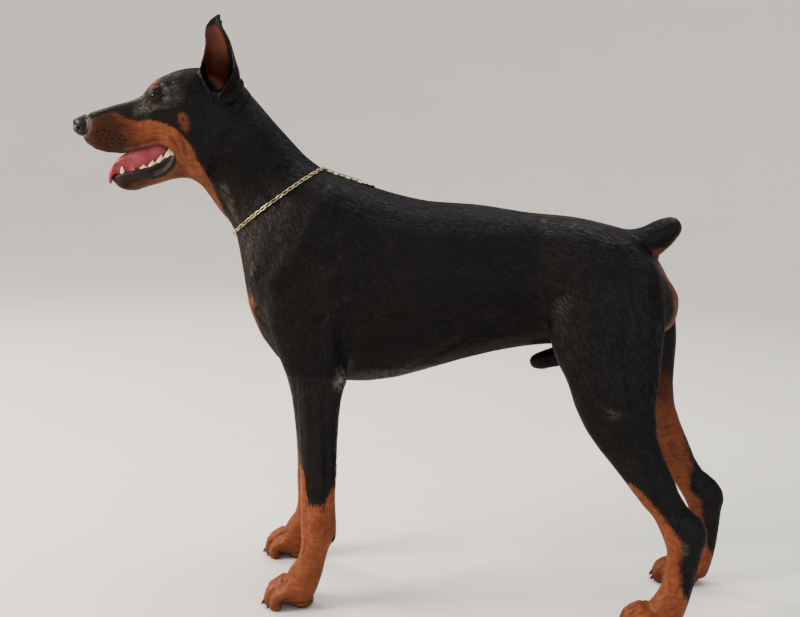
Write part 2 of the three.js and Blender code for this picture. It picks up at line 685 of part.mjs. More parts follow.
// The head is carried turned toward the left, the neck bending along its length.
function turnHead(positions) {
  const { degrees, pivotX, from, to } = HEAD_TURN;
  for (let i = 0; i < positions.length; i += 3) {
    const [x, y, z] = positions.subarray(i, i + 3);
    const upNeck = -0.6 * (x + 200) + 0.8 * (z - 665);
    const angle = THREE.MathUtils.degToRad(degrees) * THREE.MathUtils.smoothstep(upNeck, from, to);
    const cos = Math.cos(angle);
    const sin = Math.sin(angle);
    positions[i] = pivotX + (x - pivotX) * cos - y * sin;
    positions[i + 1] = (x - pivotX) * sin + y * cos;
  }
  return positions;
}

function toMesh(name, solid) {
  const { vertProperties, triVerts } = solid.getMesh();
  const positions = turnHead(new Float32Array(vertProperties));
  const geometry = new THREE.BufferGeometry();
  geometry.setAttribute('position', new THREE.BufferAttribute(positions, 3));
  geometry.setIndex(new THREE.BufferAttribute(new Uint32Array(triVerts), 1));
  geometry.computeVertexNormals();
  const look = LOOKS[Object.keys(LOOKS).find((start) => name.startsWith(start))];
  const mesh = new THREE.Mesh(geometry, new THREE.MeshStandardMaterial(look));
  mesh.name = name;
  return mesh;
}

const dog = new THREE.Group();
for (const [name, solid] of Object.entries(parts)) {
  dog.add(toMesh(name, solid));
}

// The origin lies on the floor under the middle of the bounding box.
const bounds = new THREE.Box3().setFromObject(dog, true);
const middle = bounds.getCenter(new THREE.Vector3());
for (const mesh of dog.children) {
  mesh.position.set(-middle.x, -middle.y, 0);
}

export default dog;
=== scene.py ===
"""A doberman pinscher, adult male, standing with its mouth open: skin, short coat, eyes, mouth and chain."""
import math

import bpy
import numpy as np
from bpy.props import FloatProperty, FloatVectorProperty, IntProperty, PointerProperty
from mathutils import Matrix, Vector
from mathutils.bvhtree import BVHTree


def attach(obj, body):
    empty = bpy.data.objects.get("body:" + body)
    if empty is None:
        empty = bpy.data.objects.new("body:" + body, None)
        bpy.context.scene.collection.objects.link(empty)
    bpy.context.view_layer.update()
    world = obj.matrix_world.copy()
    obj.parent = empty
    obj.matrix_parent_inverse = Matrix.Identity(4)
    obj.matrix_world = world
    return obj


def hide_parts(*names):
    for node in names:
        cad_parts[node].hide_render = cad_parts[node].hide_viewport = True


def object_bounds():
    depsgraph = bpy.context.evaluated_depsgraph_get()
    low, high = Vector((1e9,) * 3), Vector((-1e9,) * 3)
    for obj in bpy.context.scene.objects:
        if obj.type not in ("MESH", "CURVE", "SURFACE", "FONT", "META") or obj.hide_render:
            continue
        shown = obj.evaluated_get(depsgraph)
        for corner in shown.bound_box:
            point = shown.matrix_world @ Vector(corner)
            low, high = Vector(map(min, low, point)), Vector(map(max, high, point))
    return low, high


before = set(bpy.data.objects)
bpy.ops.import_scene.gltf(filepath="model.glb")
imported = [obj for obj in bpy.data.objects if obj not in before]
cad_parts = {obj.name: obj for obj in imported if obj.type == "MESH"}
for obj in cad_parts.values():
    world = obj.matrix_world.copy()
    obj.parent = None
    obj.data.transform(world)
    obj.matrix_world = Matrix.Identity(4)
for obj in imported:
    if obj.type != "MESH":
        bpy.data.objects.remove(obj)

bl_info = {
    "name": "Doberman Pinscher",
    "version": (1, 0, 0),
    "blender": (4, 5, 0),
    "location": "View3D > Sidebar > Doberman",
    "description": "Dresses the standing doberman in skin, coat, eyes, mouth and chain collar",
    "category": "Object",
}

CAD_BOX = [list(corner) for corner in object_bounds()]
BODY = "root"
MM = 0.001
SIDES = (-1, 1)
SIDE_NAMES = {-1: "left", 1: "right"}

# The solids' own millimetres are measured from a point a little off the middle of the frame.
SHIFT = np.array([-18.245, -0.121, 0.0])
HEAD_PIVOT = -230.0
HEAD_TURN = math.radians(15)
FLESH = ["head", "lower_jaw", "neck", "torso", "tail"] + [
    f"{part}_{side}"
    for part in ("ear", "front_leg", "front_paw", "hind_thigh", "hind_shank", "hind_paw")
    for side in ("left", "right")]

# Where the right eye's ball lies while the head is straight, and the ways its lids open and its iris faces
EYE = {"x": -401.0, "out": 29.0, "z": 828.0, "radius": 11.2}
EYE_OPENING = (0.02, 1.0, 0.08)
EYE_LOOK = (-0.16, 0.98, 0.04)

# A marking's depth is told within this many mm of its border.
FAR = 30


# Measuring

def ramp(value, low, high):
    """0 below low, 1 above high and smooth between, either way round."""
    t = np.clip((np.asarray(value, float) - low) / (high - low), 0, 1)
    return t * t * (3 - 2 * t)


def past_nape(x, z):
    """How far a place lies beyond the nape toward the nose, in mm."""
    return -0.6 * (x + 200) + 0.8 * (z - 665)


def head_angle(x, z):
    """How far the head's turn has come at a place: none at the neck, all of it a little past the nape."""
    return HEAD_TURN * ramp(past_nape(x, z), 10, 92)


def straight(points):
    """Frame metres to the solids' millimetres, with the head turned back to face straight ahead."""
    x, y, z = (points / MM - SHIFT).T
    ahead, across = x.copy(), y.copy()
    # The turn depends on the place it leads to, so it is closed in on by rounds.
    for _ in range(16):
        angle = head_angle(ahead, z)
        ahead = HEAD_PIVOT + (x - HEAD_PIVOT) * np.cos(angle) + y * np.sin(angle)
        across = -(x - HEAD_PIVOT) * np.sin(angle) + y * np.cos(angle)
    return np.stack([ahead, across, z], 1)


def placed(points):
    """The way back: straight-headed millimetres to frame metres."""
    x, y, z = np.atleast_2d(np.asarray(points, float)).T
    angle = head_angle(x, z)
    turned = np.stack([
        HEAD_PIVOT + (x - HEAD_PIVOT) * np.cos(angle) - y * np.sin(angle),
        (x - HEAD_PIVOT) * np.sin(angle) + y * np.cos(angle), z], 1)
    return (turned + SHIFT) * MM


def turn_ways(ways, at, back=False):
    """Directions in straight-headed space turned with the head at those places, or turned back from it."""
    angle = head_angle(at[:, 0], at[:, 2]) * (-1 if back else 1)
    cos, sin = np.cos(angle), np.sin(angle)
    x, y, z = ways.T
    return np.stack([x * cos - y * sin, x * sin + y * cos, z], 1)


# How far the right legs stand from the left ones, by height: (z, mm toward the tail)
FORE_STEP = [(420, -47.0), (640, -18.8)]
HIND_STEP = [(0, 75.0), (80, 70.0), (160, 61.0), (200, 53.0), (330, 54.0), (457, 46.0), (560, 18.0),
             (640, 0.0)]


def mirrored(at):
    """Both sides laid over each other, with y as the distance out from the middle."""
    return np.stack([at[:, 0], np.abs(at[:, 1]), at[:, 2]], 1)


def squared(at):
    """Side-view places with the right legs drawn back level with the left ones, and y as the distance out."""
    x = at[:, 0].copy()
    right = at[:, 1] > 0
    leg = at[:, 2] < 640
    for steps, legs in ((FORE_STEP, leg & (x < -20)), (HIND_STEP, leg & (x > 180))):
        heights, moves = zip(*steps)
        x = np.where(right & legs, x - np.interp(at[:, 2], heights, moves), x)
    return np.stack([x, np.abs(at[:, 1]), at[:, 2]], 1)


def inside(polygon, x, z):
    """How far inside a side-view outline a place lies, in mm, negative outside."""
    polygon = np.asarray(polygon, float)
    nearest = np.full(len(x), 1e9)
    within = np.zeros(len(x), bool)
    for (x0, z0), (x1, z1) in zip(polygon, np.roll(polygon, -1, 0)):
        dx, dz = x1 - x0, z1 - z0
        t = np.clip(((x - x0) * dx + (z - z0) * dz) / (dx * dx + dz * dz), 0, 1)
        nearest = np.minimum(nearest, np.hypot(x - x0 - t * dx, z - z0 - t * dz))
        crosses = (z0 > z) != (z1 > z)
        within ^= crosses & (x < x0 + (z - z0) / (dz if dz else 1e-9) * dx)
    return np.where(within, nearest, -nearest)


def line_gap(points, line):
    """Distance in mm from each point to a bent line in space."""
    line = np.atleast_2d(np.asarray(line, float))
    if len(line) == 1:
        return np.linalg.norm(points - line[0], axis=1)
    nearest = np.full(len(points), 1e9)
    for start, end in zip(line, line[1:]):
        way = end - start
        t = np.clip((points - start) @ way / (way @ way), 0, 1)
        nearest = np.minimum(nearest, np.linalg.norm(points - start - t[:, None] * way, axis=1))
    return nearest


def reach_of(points, centre, radii):
    """Distance from a centre, in which an ellipsoid's own surface is 1."""
    return np.linalg.norm((points - np.asarray(centre, float)) / np.asarray(radii, float), axis=1)


def ball(points, centre, radii):
    """How far inside an ellipsoid, roughly, in mm."""
    return (1 - reach_of(points, centre, radii)) * min(radii)


def on_head(at):
    return past_nape(at[:, 0], at[:, 2]) > 120


def on_paws(at):
    return at[:, 2] < 85


def near_eyes(at, reach):
    close = np.zeros(len(at), bool)
    for side in SIDES:
        close |= np.linalg.norm(at - [EYE["x"], side * (EYE["out"] + 8), EYE["z"]], axis=1) < reach
    return close


def within_box(points, margin=0.0):
    """Points brought inside the solids' box, so that the dressed dog is no bigger than they are."""
    low, high = (np.array(corner) for corner in CAD_BOX)
    return np.clip(points, low + margin, high - margin)


# Meshes

def only(*objects):
    bpy.ops.object.select_all(action="DESELECT")
    for obj in objects:
        obj.select_set(True)
    bpy.context.view_layer.objects.active = objects[0]


def merged_copy(parts, name):
    """One object from copies of these solids, with the doubled corners merged."""
    copies = []
    for part in parts:
        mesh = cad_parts[part].data.copy()
        mesh.materials.clear()
        copies.append(bpy.data.objects.new(name, mesh))
        bpy.context.collection.objects.link(copies[-1])
    only(*copies)
    if len(copies) > 1:
        bpy.ops.object.join()
    obj = copies[0]
    obj.name = name
    bpy.ops.object.mode_set(mode="EDIT")
    bpy.ops.mesh.select_all(action="SELECT")
    bpy.ops.mesh.remove_doubles(threshold=0.01 * MM)
    bpy.ops.object.mode_set(mode="OBJECT")
    return obj


def modify(obj, kind, **settings):
    """Puts a modifier with these settings on an object and applies it."""
    only(obj)
    modifier = obj.modifiers.new(kind.title(), kind)
    for key, value in settings.items():
        setattr(modifier, key, value)
    bpy.ops.object.modifier_apply(modifier=modifier.name)


def column(items, key, width=1, kind=np.float32):
    """One property of all these items, as rows of that width."""
    flat = np.empty(width * len(items), kind)
    items.foreach_get(key, flat)
    return flat.reshape(-1, width) if width > 1 else flat


def points_of(obj):
    return column(obj.data.vertices, "co", 3).astype(float)


def normals_of(obj):
    return column(obj.data.vertex_normals, "vector", 3).astype(float)


def move_points(obj, points):
    obj.data.vertices.foreach_set("co", np.asarray(points, np.float32).ravel())
    obj.data.update()


def weigh(obj, name, weights, levels=16):
    """Fills a vertex group, its weights rounded to so many levels."""
    group = obj.vertex_groups.get(name) or obj.vertex_groups.new(name=name)
    steps = np.round(np.clip(weights, 0, 1) * levels).astype(int)
    for level in range(levels + 1):
        group.add(np.nonzero(steps == level)[0].tolist(), level / levels, "REPLACE")
    return name


def smooth(obj, weights, times):
    modify(obj, "SMOOTH", factor=0.5, iterations=times, vertex_group=weigh(obj, "area", weights))


def thin_out(obj, weights, corners):
    """Merges triangles where the weight is 1 until the whole has that many corners, about."""
    weigh(obj, "thin", weights, 1)
    modify(obj, "DECIMATE", ratio=min(1.0, corners / len(obj.data.vertices)), vertex_group="thin")


def subdivide_where(obj, chosen):
    """Splits the faces whose corners are all chosen."""
    only(obj)
    mesh = obj.data
    mesh.vertices.foreach_set("select", np.zeros(len(mesh.vertices), bool))
    mesh.edges.foreach_set("select", np.zeros(len(mesh.edges), bool))
    starts = column(mesh.polygons, "loop_start", kind=np.int32)
    corners = column(mesh.loops, "vertex_index", kind=np.int32)
    mesh.polygons.foreach_set("select", np.logical_and.reduceat(chosen[corners], starts))
    bpy.ops.object.mode_set(mode="EDIT")
    bpy.ops.mesh.select_mode(type="FACE")
    bpy.ops.mesh.subdivide(number_cuts=1)
    bpy.ops.mesh.select_mode(type="VERT")
    bpy.ops.object.mode_set(mode="OBJECT")


def keep_largest(obj):
    """Drops closed-off scraps that the remesh leaves inside."""
    only(obj)
    bpy.ops.mesh.separate(type="LOOSE")
    parts = list(bpy.context.selected_objects)
    best = max(parts, key=lambda part: len(part.data.vertices))
    name = obj.name
    for part in parts:
        if part is not best:
            bpy.data.meshes.remove(part.data)
    best.name = name
    return best


def hollows(obj):
    """How deep each corner lies in a crease, in mm, from how far its neighbours stand above it."""
    a, b = column(obj.data.edges, "vertices", 2, np.int32).T
    points = points_of(obj) / MM
    shared = np.bincount(a, minlength=len(points)) + np.bincount(b, minlength=len(points))
    even = points.copy()
    for _ in range(5):
        total = np.stack([np.bincount(a, even[b, k], len(points)) + np.bincount(b, even[a, k], len(points))
                          for k in range(3)], 1)
        even = 0.3 * even + 0.7 * total / shared[:, None]
    return ((even - points) * normals_of(obj)).sum(1)


def store(obj, name, values):
    """Keeps a number at each corner, for the materials to read."""
    attribute = obj.data.attributes.get(name) or obj.data.attributes.new(name, "FLOAT", "POINT")
    attribute.data.foreach_set("value", np.asarray(values, np.float32))


def finish_piece(obj, slot, *replaced):
    """Shades a finished piece smooth, hangs it on the body and hides the solids it replaces."""
    obj.vertex_groups.clear()
    only(obj)
    bpy.ops.object.shade_smooth()
    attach(obj, BODY)
    if replaced:
        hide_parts(*replaced)
    return obj


def closed_mesh(name, points, faces):
    """A new object of one or more closed shapes, every face turned outward."""
    mesh = bpy.data.meshes.new(name)
    mesh.from_pydata(np.asarray(points, float).tolist(), [], faces)
    mesh.update()
    obj = bpy.data.objects.new(name, mesh)
    bpy.context.collection.objects.link(obj)
    only(obj)
    bpy.ops.object.mode_set(mode="EDIT")
    bpy.ops.mesh.select_all(action="SELECT")
    bpy.ops.mesh.normals_make_consistent(inside=False)
    bpy.ops.object.mode_set(mode="OBJECT")
    return obj


def ring_faces(rings, around, start=0):
    """Faces over a row of rings of corners, numbered from start, with a lid on each end."""
    faces = []
    for i in range(rings - 1):
        for k in range(around):
            a = start + i * around + k
            b = start + i * around + (k + 1) % around
            faces.append((a, b, b + around, a + around))
    first = [start + k for k in range(around)]
    last = [corner + (rings - 1) * around for corner in first]
    return faces + [tuple(reversed(first)), tuple(last)]


# Materials

def linear(colour):
    """An sRGB hex colour as linear red, green, blue and a full alpha."""
    parts = [int(colour[i:i + 2], 16) / 255 for i in (1, 3, 5)]
    return [c / 12.92 if c <= 0.04045 else ((c + 0.055) / 1.055) ** 2.4 for c in parts] + [1.0]


def shaded(colour, red=1.0, green=1.0, blue=1.0):
    """A linear colour with its parts scaled."""
    return [colour[0] * red, colour[1] * green, colour[2] * blue, 1.0]


def every(size):
    """The scale of a pattern whose marks are about this many millimetres apart."""
    return 1 / (size * MM)


def new_material(name):
    material = bpy.data.materials.new(name)
    material.use_nodes = True
    tree = material.node_tree
    return material, tree, tree.nodes["Principled BSDF"]


def fill(tree, made, inputs):
    """Sets a node's inputs to numbers and colours, or links them to other nodes' outputs."""
    for key, value in inputs.items():
        if isinstance(value, bpy.types.NodeSocket):
            tree.links.new(value, made.inputs[key])
        else:
            made.inputs[key].default_value = value


def node(tree, kind, inputs, output=0, **settings):
    """Adds a node with its settings and links, and returns one of its outputs."""
    made = tree.nodes.new(kind)
    for key, value in settings.items():
        setattr(made, key, value)
    fill(tree, made, inputs)
    return made.outputs[output]


# A Mix node that mixes colours takes its factor at 0 and the colours at 6 and 7. A Map Range node takes
# the value at 0, the range it comes from at 1 and 2, and the range it goes to at 3 and 4.
COLOURS = {"output": 2, "data_type": "RGBA"}
GRAIN = {"Detail": 3.0, "Roughness": 0.6}
FINE_GRAIN = {"Detail": 2.0, "Roughness": 0.6}


# Muscles, folds and toes, and the lines of the mouth and ears

# Each stroke: how wide, how far it lifts (or sinks, negative) in mm, and the line it follows
# on the left side, [x, out, z].
BODY_STROKES = [
    (12, 4.5, [(-84, 98, 408), (-82, 96, 386)]),
    (13, -4.5, [(-76, 104, 512), (-84, 100, 483), (-84, 94, 449), (-92, 96, 428)]),
    (7, -4.5, [(-112, 108, 500), (-124, 108, 490)]),
    (7, -4.5, [(-138, 110, 472), (-146, 110, 458)]),
    (16, 3.5, [(-103, 108, 560), (-108, 110, 500), (-106, 108, 452)]),
    (15, 3.0, [(-170, 100, 600), (-200, 98, 545), (-190, 100, 490)]),
    (9, 2.5, [(-118, 58, 692), (-142, 96, 630), (-166, 104, 580)]),
    (9, -2.5, [(-146, 70, 680), (-172, 88, 610), (-214, 88, 560)]),
    (9, -2.0, [(-98, 72, 676), (-106, 104, 610), (-88, 106, 556)]),
    (6, -3.0, [(-218, 86, 566), (-240, 66, 535), (-233, 56, 500)]),
    (7, 2.5, [(-232, 78, 560), (-246, 58, 520), (-240, 40, 480)]),
    (7, -2.5, [(-231, 50, 473), (-214, 66, 455), (-200, 88, 440)]),
    (9, -3.5, [(23, 50, 402), (65, 62, 430), (122, 72, 468), (156, 69, 482)]),
    (8, 3.0, [(60, 58, 416), (113, 64, 450), (191, 56, 466), (225, 60, 470)]),
    (12, -2.5, [(156, 72, 490), (205, 74, 520), (236, 84, 560)]),
    (16, 3.0, [(269, 50, 638), (312, 62, 618), (350, 56, 606)]),
    (12, -2.5, [(300, 84, 600), (352, 84, 560), (385, 84, 520)]),
    (12, 3.0, [(372, 92, 560), (388, 102, 500), (384, 108, 430)]),
    (9, -3.0, [(345, 112, 520), (352, 122, 440), (366, 122, 380)]),
    (18, 1.6, [(290, 108, 500), (284, 118, 440), (300, 124, 380)]),
    (8, -2.5, [(-189, 78, 668), (-232, 74, 700), (-282, 58, 752)]),
    (10, 2.5, [(-172, 70, 694), (-225, 64, 742), (-290, 48, 790)]),
    (7, 2.0, [(-268, 50, 640), (-306, 40, 690), (-338, 36, 720)]),
    (2.2, -1.6, [(244, 0, 398), (244, 14, 404), (250, 17, 422)]),
    (2.6, -1.8, [(262, 0, 402), (262, 17, 410), (268, 18, 430)]),
    (4.5, 1.6, [(233, 0, 402), (233, 10, 408)]),
]
RIB_STROKES = [(6, 1.1, [(x, 98, 560), (x + 22, 108, 500), (x + 14, 96, 440)]) for x in (-20, 12, 44, 76)]
LEG_STROKES = [
    (6, -2.6, [(-114, 114, 372), (-108, 112, 320), (-106, 112, 250), (-106, 112, 205)]),
    (7, 2.0, [(-142, 114, 366), (-138, 112, 290), (-144, 108, 200)]),
    (7, 1.8, [(-92, 108, 350), (-92, 102, 290), (-98, 98, 230)]),
    (5, -1.8, [(-160, 108, 380), (-158, 108, 300), (-156, 104, 210)]),
    (3.4, 1.5, [(-150, 108, 190), (-149, 110, 150), (-156, 106, 100), (-168, 104, 64)]),
    (3.4, -1.7, [(-141, 112, 190), (-139, 114, 150), (-146, 110, 100)]),
    (3.2, 1.4, [(-128, 112, 186), (-126, 112, 150), (-134, 108, 104)]),
    (5.5, 3.0, [(-102, 97, 134), (-100, 97, 122)]),
    (3.6, -2.6, [(-107, 112, 190), (-107, 113, 161), (-108, 113, 138)]),
    (5, -2.0, [(-108, 109, 295), (-108, 108, 244), (-109, 111, 194)]),
    (4.5, -2.2, [(420, 76, 250), (446, 76, 205)]),
    (4, 2.0, [(436, 74, 268), (462, 74, 222)]),
    (4, 1.6, [(-104, 95, 190), (-102, 95, 150)]),
    (4, -2.2, [(-116, 112, 210), (-112, 114, 170), (-116, 112, 140)]),
    (4, -1.6, [(-162, 108, 176), (-160, 108, 140)]),
    (10, -5.0, [(390, 117, 296), (408, 108, 246), (432, 106, 212), (456, 102, 200)]),
    (10, -4.0, [(393, 70, 290), (412, 72, 240), (440, 74, 208)]),
    (6, 2.6, [(420, 104, 306), (444, 100, 252), (472, 96, 208)]),
    (4, 1.6, [(378, 116, 300), (398, 112, 240), (420, 110, 190)]),
    (4.5, -2.4, [(418, 107, 220), (432, 108, 190), (452, 108, 180)]),
    (3.4, 1.8, [(404, 108, 230), (424, 108, 180), (440, 108, 130)]),
    (4.5, 1.8, [(462, 104, 150), (470, 104, 110), (466, 104, 70)]),
    (4, -2.0, [(450, 108, 150), (458, 108, 110), (452, 108, 70)]),
    (3, 1.2, [(438, 110, 140), (442, 110, 100), (436, 108, 66)]),
    (7, 3.0, [(480, 100, 182), (478, 84, 182)]),
    (5, 2.0, [(440, 112, 190), (452, 112, 168)]),
    (9, 3.0, [(330, 126, 340), (352, 124, 318)]),
]
HEAD_STROKES = [
    (6, 1.6, [(-418, 29, 846), (-404, 35, 850), (-390, 40, 848)]),
    (6, -1.0, [(-424, 34, 820), (-440, 29, 810)]),
    (7, 1.6, [(-430, 38, 800), (-400, 46, 808), (-372, 54, 812)]),
    (12, -2.0, [(-386, 44, 826), (-372, 48, 826)]),
    (5, -1.0, [(-420, 40, 808), (-400, 45, 814), (-384, 47, 820)]),
    (4, 1.5, [(-374, 53, 774), (-363, 55, 756), (-362, 54, 738), (-367, 50, 722), (-376, 42, 712)]),
    (2.8, -1.9, [(-380, 49, 768), (-371, 52, 754), (-370, 51, 740), (-374, 47, 726)]),
    (2.8, -1.3, [(-364, 55, 768), (-355, 56, 750), (-356, 54, 732), (-361, 50, 716)]),
    (8, 1.5, [(-352, 56, 780), (-340, 58, 750)]),
    (6, -1.2, [(-470, 24, 792), (-446, 30, 780), (-420, 38, 776)]),
    (5, 1.0, [(-500, 24, 756), (-470, 29, 750), (-440, 31, 750)]),
    (14, 2.0, [(-352, 60, 800), (-336, 62, 780)]),
    (6, -1.2, [(-330, 58, 812), (-318, 58, 780), (-312, 56, 740)]),
    (1.6, 0.7, [(-360, 57, 795)]),
]
# The rows of whisker roots on the lip, each a low bead: [x, out, z]
WHISKERS = [(-492, 23, 772), (-482, 26, 774), (-473, 28, 774), (-464, 30, 773), (-494, 21, 766),
            (-484, 24, 768), (-475, 27, 768), (-465, 29, 767), (-455, 31, 767), (-489, 21, 761),
            (-479, 24, 762), (-470, 27, 762), (-460, 29, 761), (-450, 31, 760), (-480, 22, 756),
            (-470, 25, 756), (-460, 28, 755)]
HEAD_STROKES += [(1.6, 0.35, [spot]) for spot in WHISKERS]

# Each toe from the inner to the outer: how far out, how far back, how high
TOES = [(-23, 14, 31), (-8.5, 1, 38), (9, 0, 38), (23.5, 11, 32)]
# Fore and hind paws: how long, how far the toes turn out in degrees, and where they stand on each side
PAWS = [(95.0, -5.0, {-1: (-174.5, -95.0), 1: (-221.5, 95.0)}),
        (92.0, -4.0, {-1: (407.0, -92.0), 1: (482.0, 92.0)})]

# The mouth. Lips and gums are laid as rolls along these lines, [x, out, z], before the skin is drawn.
MOUTH = [(-505, 741), (-480, 733), (-455, 733), (-425, 741), (-396, 749), (-380, 746), (-374, 736),
         (-380, 725), (-391, 714), (-409, 708), (-445, 710), (-466, 706), (-480, 700), (-530, 700),
         (-530, 756)]
UPPER_LIP = [(-517, 5, 770), (-510, 13, 757), (-497, 20, 747.5), (-478, 23.5, 742.5), (-455, 26, 741.5),
             (-425, 29.5, 749), (-396, 34, 756.5), (-381, 35.5, 753), (-373, 36, 741)]
LOWER_LIP = [(-474, 3, 698), (-468, 11, 702), (-452, 17, 705), (-430, 21.5, 705.5), (-409, 25.5, 703.5),
             (-391, 30, 710), (-380, 34, 722), (-373, 36, 737)]
UPPER_GUM = [(-510, 8, 764), (-497, 16, 762), (-470, 19.5, 762), (-430, 22.5, 763), (-400, 26, 765),
             (-382, 29, 766)]
LOWER_GUM = [(-471, 3, 697), (-465, 9, 700), (-452, 13.5, 705), (-440, 16.5, 709), (-428, 18.5, 712),
             (-417, 20.5, 714), (-404, 23, 720), (-389, 26.5, 729), (-379, 28.5, 736)]
# The notched edge in front of the ear, and the ear's root behind it
EAR_BELL = [(-333, 36, 870), (-330, 43, 856), (-323, 49, 842), (-312, 53, 833), (-298, 54, 832),
            (-288, 51, 840)]
EAR_ROOT = [(-316, 42, 832), (-302, 47, 824), (-288, 47, 826), (-277, 41, 842), (-273, 33, 856)]
# Each line with its roll's radius in mm
MOUTH_ROLLS = ((UPPER_LIP, 2.8), (LOWER_LIP, 3.7), (UPPER_GUM, 5.0), (LOWER_GUM, 5.2))
EAR_ROLLS = ((EAR_BELL, 4.2), (EAR_ROOT, 9.5))


def roll(line, radius, side):
    """A rounded rod along a line on one side of the head."""
    around = 10
    line = np.asarray(line, float) * [1, side, 1]
    points = []
    for spot, way in zip(line, np.gradient(line, axis=0)):
        way /= np.linalg.norm(way)
        across = np.cross(way, [0, 0, 1])
        across /= np.linalg.norm(across)
        over = np.cross(across, way)
        for k in range(around):
            a = 2 * math.pi * k / around
            points.append(spot + radius * (across * math.cos(a) + over * math.sin(a)))
    return closed_mesh("roll", placed(points), ring_faces(len(line), around))


def web(near, far, depth):
    """A thick sheet of flesh between two lines of equal count, filling what would else be a gap."""
    near, far = np.asarray(near, float), np.asarray(far, float)
    count = len(near)
    points = np.concatenate([near, far, near - [0, 0, depth], far - [0, 0, depth]])
    faces = []
    for i in range(count - 1):
        a, b, c, d = (k * count + i for k in range(4))
        faces += [(a, a + 1, b + 1, b), (c, d, d + 1, c + 1), (a, c, c + 1, a + 1), (b, b + 1, d + 1, d)]
    last = count - 1
    faces += [(0, count, 3 * count, 2 * count), (last, 2 * count + last, 3 * count + last, count + last)]
    return closed_mesh("web", placed(points), faces)


def mouth_and_ear_flesh():
    """Lips, gums, the floor of the mouth, the cheek wall between lower gum and lip, and the ears' roots."""
    made = [roll(line, radius, side) for line, radius in MOUTH_ROLLS for side in SIDES]
    gum, lip = np.array(LOWER_GUM, float), np.array(LOWER_LIP, float)
    ridge = gum * [1, 0, 1] + [0, 0, 10]
    lip = np.stack([np.interp(gum[:, 0], lip[:, 0], lip[:, k]) for k in range(3)], 1)
    lip[:, 0] = gum[:, 0]
    for side in SIDES:
        made.append(web(gum * [1, side, 1], ridge, 8))
        made.append(web(gum * [1, side, 1], lip * [1, side, 1], 6))
        made += [roll(line, radius, side) for line, radius in EAR_ROLLS]
    return made


# Skin

def build_ear(side):
    """An ear drawn finer than the rest, its wall a little thicker than the solid's to keep the rim whole."""
    ear = merged_copy([f"ear_{side}"], "ear")
    modify(ear, "DISPLACE", strength=0.9 * MM, mid_level=0.0)
    modify(ear, "REMESH", mode="VOXEL", voxel_size=0.85 * MM)
    ear = keep_largest(ear)
    smooth(ear, np.ones(len(ear.data.vertices)), 9)
    smooth(ear, ramp(straight(points_of(ear))[:, 2], 900, 935), 16)
    modify(ear, "DECIMATE", ratio=min(1.0, 5200 / len(ear.data.vertices)))
    return ear


def join_ears(skin):
    """Welds the ears on and rounds the crease at their roots."""
    for side in SIDE_NAMES.values():
        ear = build_ear(side)
        modify(skin, "BOOLEAN", operation="UNION", object=ear, solver="EXACT")
        bpy.data.meshes.remove(ear.data)
    skin = keep_largest(skin)
    x, y, z = straight(points_of(skin)).T
    root = np.maximum(ramp(z, 862, 872), ramp(np.abs(y), 30, 36) * ramp(z, 822, 836)) * ramp(x, -345, -338)
    smooth(skin, root * ramp(z, 894, 880), 3)
    smooth(skin, root * ramp(z, 846, 836), 12)
    return skin


def toe_strokes():
    """Grooves between the toes and a knuckle on each, from where the toes stand."""
    made = []
    for length, _, feet in PAWS:
        x, out = feet[-1][0], abs(feet[-1][1])
        for (near, back, _), (far, behind, _) in zip(TOES, TOES[1:]):
            middle, rear = out + (near + far) / 2, (back + behind) / 2
            tip = x + rear - length / 2
            made.append((1.9, -2.4, [(tip + 6, middle, 10), (tip + 10, middle, 26), (tip + 26, middle, 42),
                                     (x + rear - 6, middle, 52)]))
        for toe, back, high in TOES:
            tip = x + back - length / 2
            made.append((4.5, 1.4, [(tip + 26, out + toe, high - 2)]))
            made.append((3.5, -1.0, [(tip + 15, out + toe, high - 12)]))
    return made


def draw_skin(voxel):
    """One closed skin over the solids and the mouth's flesh, smoothed most where the body is plainest."""
    flesh = [part for part in FLESH if not part.startswith("ear")]
    skin = merged_copy(flesh + ["eye_left", "eye_right", "nose"], "skin")
    modify(skin, "DISPLACE", strength=0.3 * MM, mid_level=0.0)
    only(skin, *mouth_and_ear_flesh())
    bpy.ops.object.join()
    modify(skin, "REMESH", mode="VOXEL", voxel_size=voxel)
    skin = keep_largest(skin)
    x, out, z = mirrored(straight(points_of(skin))).T
    head = ramp(past_nape(x, z), 95, 150)
    legs = ramp(z, 410, 300) * (1 - head)
    paws = ramp(z, 95, 60)
    tail = ramp(x, 372, 400) * ramp(z, 585, 600)
    sheath = ramp(z, 440, 425) * ramp(x, 190, 205) * ramp(out, 40, 30)
    body = (1 - head) * (1 - legs) * (1 - tail) * (1 - sheath)
    mouth = ramp(inside(MOUTH, x, z), -14, -6) * head
    smooth(skin, body, 190)
    smooth(skin, np.maximum(legs * (1 - paws), np.maximum(tail, sheath)), 55)
    smooth(skin, head * (1 - mouth), 14)
    smooth(skin, np.maximum(np.maximum(paws, mouth), 0.4), 5)
    smooth(skin, paws, 7)
    return skin


def sculpt(skin, strokes):
    """Raises or sinks the skin along the strokes, on both sides alike."""
    at = squared(straight(points_of(skin)))
    lift = np.zeros(len(at))
    for width, rise, line in strokes:
        line = np.asarray(line, float)
        low, high = line.min(0) - 3 * width - 12, line.max(0) + 3 * width + 12
        near = np.nonzero(((at > low) & (at < high)).all(1))[0]
        if len(near):
            lift[near] += rise * np.exp(-(line_gap(at[near], line) / width) ** 2)
    move_points(skin, points_of(skin) + normals_of(skin) * lift[:, None] * MM)


